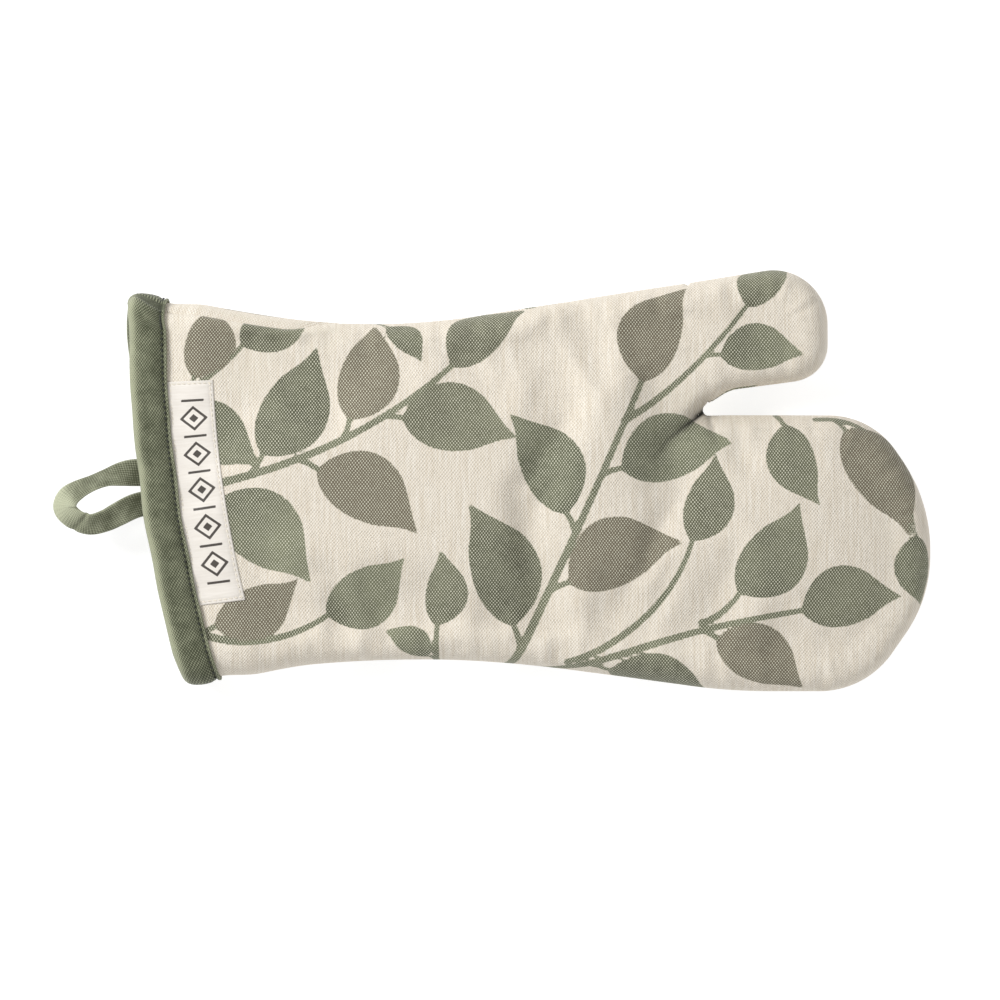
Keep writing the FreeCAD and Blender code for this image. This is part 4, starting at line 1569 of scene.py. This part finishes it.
@dataclass
class PaddedBody:
    """Printed shells, wadding and lining of both walls, with the threads that join them."""

    form: Form
    duck: Material
    calico: Material
    wadding: Material
    thread: Material
    layers: tuple[Layer, ...] = (
        Layer("shell", 0.0, 0.8, 1.3, 487.4),
        Layer("wadding", 1.0, 5.6, 3.0, 486.2),
        Layer("lining", 5.9, 6.5, 2.4, 486.6),
    )
    back_spacing: float = 1.6
    sprigs: SprigPrint = SprigPrint()
    finger_start: float = 88.5
    finger_end: float = 114.0
    thumb_start: float = 0.5
    thumb_run: float = 24.0
    seam_pitch: float = 2.8
    seam_stitch: float = 2.1

    def build(self) -> None:
        """Make every layer of both walls, and the seams."""
        finishes = {"shell": self.duck, "wadding": self.wadding, "lining": self.calico}
        for layer in self.layers:
            plans: dict[float, Plan] = {}
            for side in Side:
                spacing = layer.spacing
                if layer.node == "shell" and side is Side.BACK:
                    spacing = self.back_spacing
                if spacing not in plans:
                    plans[spacing] = Plan(self.form.outline, spacing, layer.cuff_radius)
                self._wall(layer, side, plans[spacing], finishes[layer.node])
        self._threads("seam_thread", 0.9, 0.2, 487.0)
        self._threads("lining_thread", 6.7, 0.2, 486.0)

    def _wall(self, layer: Layer, side: Side, plan: Plan, finish: Material) -> None:
        """Make one layer of one wall, in its two parts.

        Args:
            layer: which layer.
            side: which wall.
            plan: the layer's triangles.
            finish: its material.
        """
        outer = self.form.place(plan.at, side, layer.outer)
        inner = self.form.place(plan.at, side, layer.inner)
        cloth = self.form.cloth(plan.at, side)
        every = plan.triangles if side is Side.FRONT else plan.triangles[:, ::-1]
        shading = point_normals(outer, every)
        values = {"cloth": cloth}
        if layer.node == "shell":
            values.update(self.sprigs.paint(cloth, side))
            # Painted shade in the front's pinched folds, stored with the print.
            shut = sum(crease.pinch(plan.at.plan) for crease in self.form.creases)
            values["pinch"] = np.clip(shut * (side is Side.FRONT), 0, 1)
        for part in Part:
            faces = plan.faces_of(part)
            faces = faces if side is Side.FRONT else faces[:, ::-1]
            build = layer_solid(outer, inner, faces, shading)
            used = build.values.pop("used").astype(int)
            build.values = {key: value[used] for key, value in values.items()}
            build.bake = self._bake_map(cloth[used], len(used) // 2)
            name = f"{'thumb' if part is Part.THUMB else 'hand'}_{side.name.lower()}_{layer.node}_cloth"
            piece = build.make(name, finish)
            self._bend(piece, part)
            regions = ("thumb",) if part is Part.THUMB else ("hand", "finger")
            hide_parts(*(f"{region}_{side.name.lower()}_{layer.node}" for region in regions))
            if layer.node == "wadding":
                continue

    def _bake_map(self, cloth: Array, count: int) -> Array:
        """Lay the cloth out for baking, the outer face large and the inner face small above it.

        Args:
            cloth: flat places of the outer points, then of the inner ones.
            count: number of outer points.

        Returns:
            Places within the unit square.
        """
        low, high = cloth.min(0), cloth.max(0)
        scale = 0.98 / float((high - low).max())
        laid = (cloth - low) * scale + 0.01
        laid[count:] = laid[count:] * 0.35 + np.array((0.0, 0.64))
        return laid

    def _bend(self, piece: bpy.types.Object, part: Part) -> None:
        """Bake a piece's placement into its mesh, the same for the thumb's length and the hand's.

        Args:
            piece: the piece.
            part: the thumb's length or the hand's.
        """
        if part is Part.THUMB:
            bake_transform(piece)
        else:
            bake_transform(piece)

    def _threads(self, node: str, depth: float, radius: float, cuff_radius: float) -> None:
        """Sew the side seam's stitches at one depth, all round the mitt.

        Args:
            node: the thread's CAD node, less its region.
            depth: below the outer face.
            radius: the thread's radius.
            cuff_radius: sweep where the seam ends at the cuff.
        """
        outline = self.form.outline
        start, end = outline.crossings(cuff_radius)
        runs = np.arange(start + 2, end - 2, self.seam_pitch)
        at = outline.run_point(runs)
        centres = self.form.place(at, Side.FRONT, depth)
        ahead = self.form.place(outline.run_point(runs + 0.3), Side.FRONT, depth)
        roll = self.form.roll(at)
        up = -np.column_stack((at.inward * np.cos(roll)[:, None], -np.sin(roll)))
        off = at.plan - outline.crotch_centre
        thumb = (off @ outline.size.thumb_way > 0) & (off[:, 1] > 0)
        for region, mask in {"thumb": thumb, "hand": ~thumb}.items():
            build = capsules(centres[mask], (ahead - centres)[mask], up[mask], self.seam_stitch, radius)
            piece = build.make(f"{region}_{node}_stitches", self.thread)
            self._bend(piece, Part.THUMB if region == "thumb" else Part.HAND)
            nodes = [f"thumb_{node}"] if region == "thumb" else [f"hand_{node}", f"finger_{node}"]
            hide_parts(*nodes)


@dataclass
class MouthSweep:
    """Places round the cuff's mouth: across the front, round the heel side, back across the back."""

    form: Form
    width: float = 160.0
    step: float = 0.8
    rim_steps: int = 14

    def shares(self) -> Array:
        """Share out the way across, closer where the rims round over.

        Returns:
            Shares from 0 to 1, the same for each sweep.
        """
        rim = self.form.rim_width / self.width
        lean = np.linspace(0, math.pi / 2, self.rim_steps)
        near = rim * (1 - np.cos(lean))
        flat = np.linspace(rim, 1 - rim, int(self.width * (1 - 2 * rim) / self.step))[1:-1]
        return np.concatenate((near, flat, 1 - near[::-1]))

    def row(self, radius: float, depth: float, shares: Array, side: Side, lift: Array | float = 0.0) -> Array:
        """Points across one wall on a sweep about the cuff's centre.

        Args:
            radius: the sweep's radius.
            depth: below the outer face.
            shares: shares of the way from the thumb side to the heel side.
            side: which wall.
            lift: extra outward distance at each share.

        Returns:
            Points in mm.
        """
        outline = self.form.outline
        ends = outline.run_point(np.array(outline.crossings(radius))).plan - outline.size.cuff_centre
        angles = np.arctan2(ends[:, 1], ends[:, 0]) % (2 * math.pi)
        angle = angles[0] + (angles[1] - angles[0]) * shares
        plan = outline.size.cuff_centre + radius * np.stack((np.cos(angle), np.sin(angle)), 1)
        at = outline.locate(plan)
        return self.form.place(at, side, depth - np.asarray(lift), bound=True)


@dataclass
class CuffBinding:
    """Bias binding folded over the raw cuff, topstitched through all layers."""

    form: Form
    cloth: Material
    thread: Material
    stitch_radius: float = 476.6
    stitch_pitch: float = 2.35
    stitch_length: float = 1.3
    stitch_depth: float = 0.42
    thread_radius: float = 0.42
    # Rows of the section that lie outside, counted from its start, and the row along its crown.
    outside_rows: int = 19
    crown_row: int = 8
    crown_radius: float = 489.4
    hem_radius: float = 475.2
    # Radius and depth below the shell of each row, from the front hem round the raw edge and back.
    section: tuple[Pair, ...] = (
        (474.85, 1.35), (474.75, 0.60), (475.05, 0.15), (475.75, 0.25), (476.60, 1.05),
        (477.60, 0.40), (479.00, -0.20), (481.00, -0.45), (483.00, -0.50), (485.00, -0.35),
        (486.80, 0.05), (488.20, 0.75), (489.30, 1.80), (489.90, 3.10), (489.95, 4.40),
        (489.50, 5.70), (488.50, 6.80), (487.00, 7.60), (484.50, 8.00), (481.00, 8.10),
        (478.00, 8.00), (476.60, 7.70), (475.60, 7.95), (475.00, 7.80), (474.80, 7.30),
        (475.00, 6.95), (477.00, 7.05), (481.00, 7.10), (485.00, 6.95), (487.40, 6.10),
        (488.50, 4.60), (488.60, 3.10), (487.80, 1.95), (486.00, 1.35), (482.00, 1.25),
        (478.00, 1.45), (476.60, 1.55),
    )

    def build(self) -> None:
        """Make the binding and its topstitching."""
        sweep = MouthSweep(self.form)
        shares, width = sweep.shares(), sweep.width
        rows = []
        count = len(shares)
        loop = 2 * count - 2
        for number, (radius, depth) in enumerate(self.section):
            pieces = []
            for side in (Side.FRONT, Side.BACK):
                line = shares * width
                puff = 0.22 * waver(line, (31.0, 19.0, 13.0), 11 + side.value)
                tight = 0.16 * np.cos(2 * math.pi * line / self.stitch_pitch)
                near_hem = math.exp(-(((radius - 477.0) / 1.6) ** 2))
                outside = 1.0 if number < self.outside_rows else 0.0
                sway = 0.25 * waver(line, (47.0, 29.0), 21) * outside
                lift = outside * (puff * (1 - near_hem) + tight * near_hem)
                middle = np.sin(np.pi * np.clip(shares, 0, 1)) ** 0.5
                pieces.append(sweep.row(radius, depth, shares, side, lift * middle))
                # The back's thumb end reaches a little further, as it does where the seam has rolled.
                tip = 2.4 * np.exp(-(((shares - 0.10) / 0.09) ** 2)) * (side is Side.BACK)
                pieces[-1][:, 0] += sway * middle - tip * smooth(478, 489, radius)
            rows.append(np.concatenate((pieces[0], pieces[1][::-1][1:-1])))
        points = np.concatenate(rows)
        faces = []
        total = len(rows)
        for r in range(total):
            low, high = r * loop, ((r + 1) % total) * loop
            for c in range(loop):
                after = (c + 1) % loop
                faces.append((low + c, low + after, high + after, high + c))
        along = np.concatenate((shares * width, (2 - shares[::-1][1:-1]) * width))
        profile = np.array(self.section)
        girth = np.concatenate(([0], np.cumsum(np.linalg.norm(np.diff(profile, axis=0), axis=1))))
        cloth = np.stack((np.repeat(girth, loop), np.tile(along, total)), 1)
        # Painted highlight along the crown and hem, painted shade along the stitch line.
        worn = np.repeat([self._painted_light_and_shade(radius, depth) for radius, depth in self.section], loop)
        build = Build(points, faces, {"cloth": cloth, "worn": worn})
        binding = build.make("cuff_binding_tape", self.cloth)
        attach(binding, "hand")
        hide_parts("cuff_binding")
        self._topstitch(sweep)

    def _painted_light_and_shade(self, radius: float, depth: float) -> float:
        """Painted light and shade of the binding: a painted highlight on its crown and hem, painted shade in
        the line that the stitches pull down.

        Args:
            radius: row of the section.
            depth: the row's depth below the shell.

        Returns:
            How much lighter the row is painted, below zero where painted shade makes it darker.
        """
        crown = 0.95 * math.exp(-(((radius - self.crown_radius) / 2.0) ** 2)) * (depth < 5)
        hem = 0.45 * math.exp(-(((radius - self.hem_radius) / 0.5) ** 2)) * (depth < 2)
        return crown + hem - 0.35 * math.exp(-(((radius - self.stitch_radius) / 0.6) ** 2))

    def _topstitch(self, sweep: MouthSweep) -> None:
        """Sew the binding's stitches round the whole mouth, front and back.

        Args:
            sweep: places round the mouth.
        """
        shares = (np.arange(0.5, sweep.width / self.stitch_pitch) * self.stitch_pitch) / sweep.width
        shares = shares[(shares > 0.004) & (shares < 0.996)]
        parts = []
        for side in (Side.FRONT, Side.BACK):
            here = sweep.row(self.stitch_radius, self.stitch_depth, shares, side)
            ahead = sweep.row(self.stitch_radius, self.stitch_depth, np.clip(shares + 0.002, 0, 1), side)
            above = sweep.row(self.stitch_radius, 0.0, shares, side)
            parts.append((here, ahead - here, above - here))
        centres, along, up = (np.concatenate([p[k] for p in parts]) for k in range(3))
        build = capsules(centres, along, up, self.stitch_length, self.thread_radius)
        stitches = build.make("binding_topstitch_thread", self.thread)
        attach(stitches, "hand")
        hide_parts("binding_topstitch")


@dataclass
class WovenLabel:
    """Satin label let into the binding's seam and stitched down all round."""

    form: Form
    satin: Material
    thread: Material
    inner_radius: float = 456.6
    outer_radius: float = 475.6
    middle: float = -3.6
    length: float = 87.0
    thickness: float = 0.45
    step: float = 0.4
    margin: float = 1.3
    pitch: float = 2.1
    skew: float = 0.17
    bend_radius: float = 466.0
    motif_period: float = 14.2

    def _plan(self, radius: Array, across: Array) -> Array:
        """Find places of the label in the plan.

        Args:
            radius: distance from the cuff's centre.
            across: sideways distance from the label's middle.

        Returns:
            Plan places in mm.
        """
        size, reach = self.form.outline.size, self.bend_radius
        base = math.asin((self.middle - size.cuff_high_point) / reach)
        # The lower end is cut level with the mitt, so the label's free edge is a little longer there.
        longer = self.skew * np.clip(-across * 2 / self.length, 0, 1) * (self.outer_radius - radius)
        angle = base + (across - longer) / reach
        return size.cuff_centre + np.stack((-radius * np.cos(angle), radius * np.sin(angle)), 1)

    def _surface(self, radius: Array, across: Array, above: float | Array) -> Array:
        """Put points above the shell where the label lies.

        Args:
            radius: distance from the cuff's centre.
            across: sideways distance from the label's middle.
            above: height over the shell.

        Returns:
            Points in mm.
        """
        at = self.form.outline.locate(self._plan(radius, across))
        return self.form.place(at, Side.FRONT, -np.asarray(above))

    def _motif(self, radius: Array, across: Array) -> Array:
        """Draw the woven motif, a row of hollow lozenges parted by bars.

        Args:
            radius: distance from the cuff's centre.
            across: sideways distance from the label's middle.

        Returns:
            Depth inside the mark, negative outside.
        """
        middle = (self.inner_radius + self.outer_radius) / 2 - 0.8
        v = radius - middle
        period = self.motif_period
        u = (across + period / 2) % period - period / 2
        lozenge = 5.0 - (np.abs(u) + np.abs(v) / 1.15)
        hollow = np.minimum(lozenge, 1.35 - lozenge)
        seed = 1.7 - (np.abs(u) + np.abs(v) / 1.15)
        dash = np.minimum(0.5 - np.abs(np.abs(u) - period / 2), 4.6 - np.abs(v))
        inside = self.length / 2 - 7.0 - np.abs(across)
        return np.minimum(np.maximum.reduce((hollow, seed, dash)), inside)

    def build(self) -> None:
        """Make the label and its stitches."""
        half = self.length / 2
        lines_u = np.arange(-half, half + 1e-6, self.step)
        height = self.outer_radius - self.inner_radius
        lines_v = np.linspace(self.inner_radius, self.outer_radius, int(height / self.step))
        grid_v, grid_u = np.meshgrid(lines_v, lines_u)
        radius, across = grid_v.ravel(), grid_u.ravel()
        edge = np.minimum(half - np.abs(across), radius - self.inner_radius)
        round_edge = self.thickness * np.sqrt(np.clip(edge / 0.6, 0.12, 1))
        stitched = 0.22 * np.exp(-(((edge - self.margin) / 0.5) ** 2))
        ripple = 0.14 * waver(across, (17.0, 11.0), 31) * smooth(0.5, 4, edge)
        top = self._surface(radius, across, 0.10 + round_edge - stitched + ripple)
        low = self._surface(radius, across, 0.02)
        rows, cols = len(lines_u), len(lines_v)
        count = rows * cols
        faces = []
        for r in range(rows - 1):
            for c in range(cols - 1):
                a = r * cols + c
                faces.append((a, a + 1, a + cols + 1, a + cols))
        # +X is towards smaller radius, so the order above faces down and is turned round.
        up_faces = [f[::-1] for f in faces]
        down_faces = [tuple(v + count for v in f) for f in faces]
        rim = [r * cols for r in range(rows)] + [(rows - 1) * cols + c for c in range(1, cols)]
        rim += [r * cols + cols - 1 for r in range(rows - 2, -1, -1)] + list(range(cols - 2, 0, -1))
        walls = []
        for a, b in zip(rim, rim[1:] + rim[:1]):
            walls.append((a, b, b + count, a + count))
        build = Build(np.concatenate((top, low)), up_faces + down_faces + walls)
        cloth = np.stack((radius - self.inner_radius, across), 1)
        build.values["cloth"] = np.concatenate((cloth, cloth))
        motif = self._motif(radius, across)
        build.values["motif"] = np.concatenate((motif, np.full(count, -2.0)))
        label = build.make("woven_label_ribbon", self.satin)
        consistent(label)
        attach(label, "hand")
        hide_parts("woven_label")
        self._stitches()

    def _stitches(self) -> None:
        """Sew the label down along both long edges and both ends."""
        half = self.length / 2 - self.margin
        long_way = np.arange(-half, half, self.pitch)
        short_way = np.arange(self.inner_radius + self.margin, self.outer_radius - self.margin, self.pitch)
        inner = np.full(len(long_way), self.inner_radius + self.margin)
        outer = np.full(len(long_way), self.outer_radius - self.margin - 0.4)
        radius = np.concatenate((inner, outer, short_way, short_way))
        ends = np.concatenate((np.full(len(short_way), -half), np.full(len(short_way), half)))
        across = np.concatenate((long_way, long_way, ends))
        is_long = np.arange(len(radius)) < 2 * len(long_way)
        level = self.thickness + 0.02
        here = self._surface(radius, across, level)
        # Each stitch slants a little across its line, as lockstitch does on ribbon.
        slant, onward = np.where(is_long, 0.12, 0.5), np.where(is_long, 0.5, 0.12)
        ahead = self._surface(radius + slant, across + onward, level)
        above = self._surface(radius, across, self.thickness + 0.5)
        build = capsules(here, ahead - here, above - here, 1.55, 0.24)
        stitches = build.make("label_stitch_thread", self.thread)
        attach(stitches, "hand")
        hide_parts("label_stitches")


def consistent(piece: bpy.types.Object) -> None:
    """Turn a closed mesh's faces outwards.

    Args:
        piece: the mesh's object.
    """
    work = bmesh.new()
    work.from_mesh(piece.data)
    bmesh.ops.recalc_face_normals(work, faces=work.faces)
    work.to_mesh(piece.data)
    work.free()


@dataclass
class HangingLoop:
    """Folded bias tape, doubled back on itself and caught under the cuff's binding."""

    form: Form
    tape: Material
    thread: Material
    width: float = 11.0
    thickness: float = 1.6
    # Place of the tape's middle line, its tilt from flat in degrees and its share of full width.
    path: tuple[tuple[float, float, float, float, float], ...] = (
        (-130.0, 3.0, 17.8, 2, 1.0),
        (-137.0, 3.2, 17.9, 4, 1.0),
        (-144.0, 3.2, 18.2, 8, 1.0),
        (-149.0, 2.6, 18.5, 22, 0.96),
        (-154.8, 1.2, 18.9, 44, 0.92),
        (-160.5, -1.0, 19.2, 50, 0.92),
        (-166.0, -3.6, 19.4, 40, 0.95),
        (-170.2, -6.8, 19.4, 30, 1.0),
        (-171.6, -11.2, 19.0, 24, 0.95),
        (-167.8, -15.4, 18.6, 22, 0.86),
        (-161.8, -17.6, 18.3, 22, 0.82),
        (-155.6, -16.2, 18.1, 18, 0.84),
        (-150.0, -13.4, 18.0, 10, 0.88),
        (-144.0, -10.4, 18.0, 5, 0.9),
        (-137.0, -8.6, 17.9, 3, 0.9),
        (-130.0, -7.6, 17.8, 2, 0.9),
    )
    fold_x: float = -165.0
    steps: int = 150

    def _line(self) -> Array:
        """Smooth the path by a cubic through its points.

        Returns:
            Rows of place, tilt and share of width along the tape.
        """
        knots = np.array(self.path, float)
        t = np.linspace(0, len(knots) - 1, self.steps)
        i = np.clip(np.floor(t).astype(int), 0, len(knots) - 2)
        f = (t - i)[:, None]
        padded = np.concatenate((2 * knots[:1] - knots[1:2], knots, 2 * knots[-1:] - knots[-2:-1]))
        p0, p1, p2, p3 = (padded[i + k] for k in range(4))
        square, cube = 2 * p0 - 5 * p1 + 4 * p2 - p3, 3 * p1 - p0 - 3 * p2 + p3
        return 0.5 * (2 * p1 + (p2 - p0) * f + square * f**2 + cube * f**3)

    def build(self) -> None:
        """Make the tape and the bar tacks that hold its ends."""
        line = self._line()
        middle, tilt, share = line[:, :3], np.radians(line[:, 3]), line[:, 4]
        along = unit(np.gradient(middle, axis=0))
        level = unit(np.cross(np.array((0, 0, 1.0)), along))
        upward = np.cross(along, level)
        across = level * np.cos(tilt)[:, None] + upward * np.sin(tilt)[:, None]
        normal = np.cross(along, across)
        half, thin = self.width / 2, self.thickness / 2
        section = self._section(half, thin)
        run = np.concatenate(([0], np.cumsum(np.linalg.norm(np.diff(middle, axis=0), axis=1))))
        later = run > run[-1] / 2
        fold_run = float(run[later][np.abs(middle[later, 0] - self.fold_x).argmin()])
        rings = []
        for u, v in section:
            nip = 0.9 * np.exp(-(((run - fold_run - 0.25 * u) / 1.0) ** 2))
            rings.append(middle + across * (u * share)[:, None] + normal * (v - nip)[:, None])
        points = np.stack(rings, 1)
        count = len(section)
        faces = []
        for s in range(self.steps - 1):
            for k in range(count):
                after = (k + 1) % count
                a, b = s * count, (s + 1) * count
                faces.append((a + k, a + after, b + after, b + k))
        faces.append(tuple(range(count))[::-1])
        faces.append(tuple((self.steps - 1) * count + k for k in range(count)))
        girth = np.cumsum([0] + [math.dist(section[k], section[k + 1]) for k in range(count - 1)])
        wide, far = np.tile(girth, self.steps), np.repeat(run, count)
        cloth = np.stack((wide + far, wide - far), 1) / math.sqrt(2)
        # The tape is lighter towards its folded edges. The turn before the fold gets a painted highlight, and
        # the legs get painted shade where they run in under the binding.
        rim = np.array([0.5 * smooth(0.82, 1.0, abs(u) / half) for u, _ in section])
        turn = 0.85 * np.exp(-(((run - fold_run + 9.0) / 6.5) ** 2)) - 0.2 * smooth(-150, -141, middle[:, 0])
        worn = (rim[None, :] + turn[:, None]).ravel()
        build = Build(points.reshape(-1, 3), faces, {"cloth": cloth, "worn": worn})
        tape = build.make("hanging_loop_tape", self.tape)
        consistent(tape)
        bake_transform(tape)
        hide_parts("hanging_loop", "loop_ends")
        self._tacks()

    @staticmethod
    def _section(half: float, thin: float) -> list[Pair]:
        """Draw the tape's section: two faces, turned-in edges and a hollow along the middle.

        Args:
            half: half of the tape's width.
            thin: half of its thickness.

        Returns:
            Points round the section.
        """
        upper = []
        for u in np.linspace(-1, 1, 17):
            edge = math.sqrt(max(1 - abs(u) ** 8, 0.0))
            upper.append((float(u) * half, thin * edge * (1 - 0.12 * math.cos(math.pi * u / 2))))
        lower = [(u, -v) for u, v in upper[::-1][1:-1]]
        return upper + lower

    def _tacks(self) -> None:
        """Sew a close bar of stitches across each end of the tape."""
        centres, along = [], []
        for x, y in ((-134.5, 1.9), (-134.5, -7.3)):
            for offset in np.arange(-4.4, 4.5, 0.8):
                centres.append((x, y + offset, 18.85))
                along.append((1.0, 0.25, 0.0))
        places = np.array(centres)
        build = capsules(places, np.array(along), np.tile((0, 0, 1.0), (len(places), 1)), 2.4, 0.26)
        tacks = build.make("loop_bar_tack_thread", self.thread)
        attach(tacks, "hand")
        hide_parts("loop_bar_tacks")


# -------- studio


@dataclass(frozen=True)
class Studio:
    """Pale floor, soft light and a camera that looks straight down."""

    centre: Pair = (3.2, -7.8)
    field_wide: float = 400.0
    height: float = 2000.0
    sensor: float = 36.0
    cloth_level: float = 27.0

    def build(self) -> None:
        """Make the floor, world, lights and camera."""
        scene = bpy.context.scene
        scene.view_settings.view_transform = "Standard"
        scene.view_settings.look = "None"
        world = bpy.data.worlds.new("studio")
        world.use_nodes = True
        tree = world.node_tree
        tree.nodes.clear()
        sky = add_node(tree, "Background", {}, {"Color": (1, 1, 1, 1), "Strength": 0.42})
        add_node(tree, "OutputWorld", {}, {"Surface": sky.outputs[0]})
        scene.world = world
        mesh = bpy.data.meshes.new("floor")
        far = 4.0
        # Just under the lowest fold of the binding, so that nothing pokes through.
        low = -0.4 * MM
        corners = [(-far, -far, low), (far, -far, low), (far, far, low), (-far, far, low)]
        mesh.from_pydata(corners, [], [(0, 1, 2, 3)])
        floor = bpy.data.objects.new("floor", mesh)
        scene.collection.objects.link(floor)
        material, _, shader = new_material("white_paper_sweep")
        shader.inputs["Base Color"].default_value = (0.4, 0.4, 0.4, 1)
        shader.inputs["Roughness"].default_value = 0.9
        shader.inputs["Emission Color"].default_value = (1, 1, 1, 1)
        shader.inputs["Emission Strength"].default_value = 0.78
        mesh.materials.append(material)
        for name, place, energy, side in (
            ("key", (-1.25, 0.75, 1.15), 30.0, 0.7),
            ("fill", (0.9, -1.1, 1.5), 9.0, 1.4),
        ):
            lamp = bpy.data.lights.new(name, "AREA")
            lamp.energy = energy
            lamp.shape = "SQUARE"
            lamp.size = side
            holder = bpy.data.objects.new(name, lamp)
            holder.location = place
            holder.rotation_euler = (-Vector(place)).to_track_quat("-Z", "Y").to_euler()
            scene.collection.objects.link(holder)
        camera = bpy.data.cameras.new("camera")
        camera.sensor_width = self.sensor
        camera.lens = self.sensor * (self.height - self.cloth_level) / self.field_wide
        camera.clip_end = 50
        holder = bpy.data.objects.new("camera", camera)
        holder.location = (self.centre[0] * MM, self.centre[1] * MM, self.height * MM)
        scene.collection.objects.link(holder)
        scene.camera = holder


def main() -> None:
    """Build the mitt's pieces in order, then the studio."""
    logging.basicConfig(level=logging.INFO, format="%(name)s: %(message)s")
    outline = Outline(MittSize())
    form = Form(outline)
    PaddedSwell(form).run()
    duck = PrintedDuck().material()
    fine = WovenLook(1.15, 0.74, 0.12)
    needled = WovenLook(3.1, 2.2, 0.2)
    calico = DyedCloth("bleached_calico_lining", "#DAD2C2", "#F1ECE2", fine, 0.5).material()
    wadding = DyedCloth("needled_cotton_wadding", "#E6E0D2", "#F6F2E8", needled, 0.3).material()
    binding = DyedCloth("sage_cotton_bias_binding", "#3F4331", "#9DA086", fine, 1.3).material()
    tape = DyedCloth("sage_cotton_bias_tape", "#4A4D3A", "#B2B59B", fine, 0.7).material()
    sage_thread = SewingThread("sage_spun_polyester_thread", "#1A1D15", "#33372A").material()
    cream_thread = SewingThread("cream_spun_polyester_thread", "#D8CFBD", "#F3EDE0").material()
    PaddedBody(form, duck, calico, wadding, cream_thread).build()
    CuffBinding(form, binding, sage_thread).build()
    WovenLabel(form, LabelSatin().material(), cream_thread).build()
    HangingLoop(form, tape, sage_thread).build()
    Studio().build()
    bpy.context.view_layer.update()


if __name__ == "__main__":
    main()
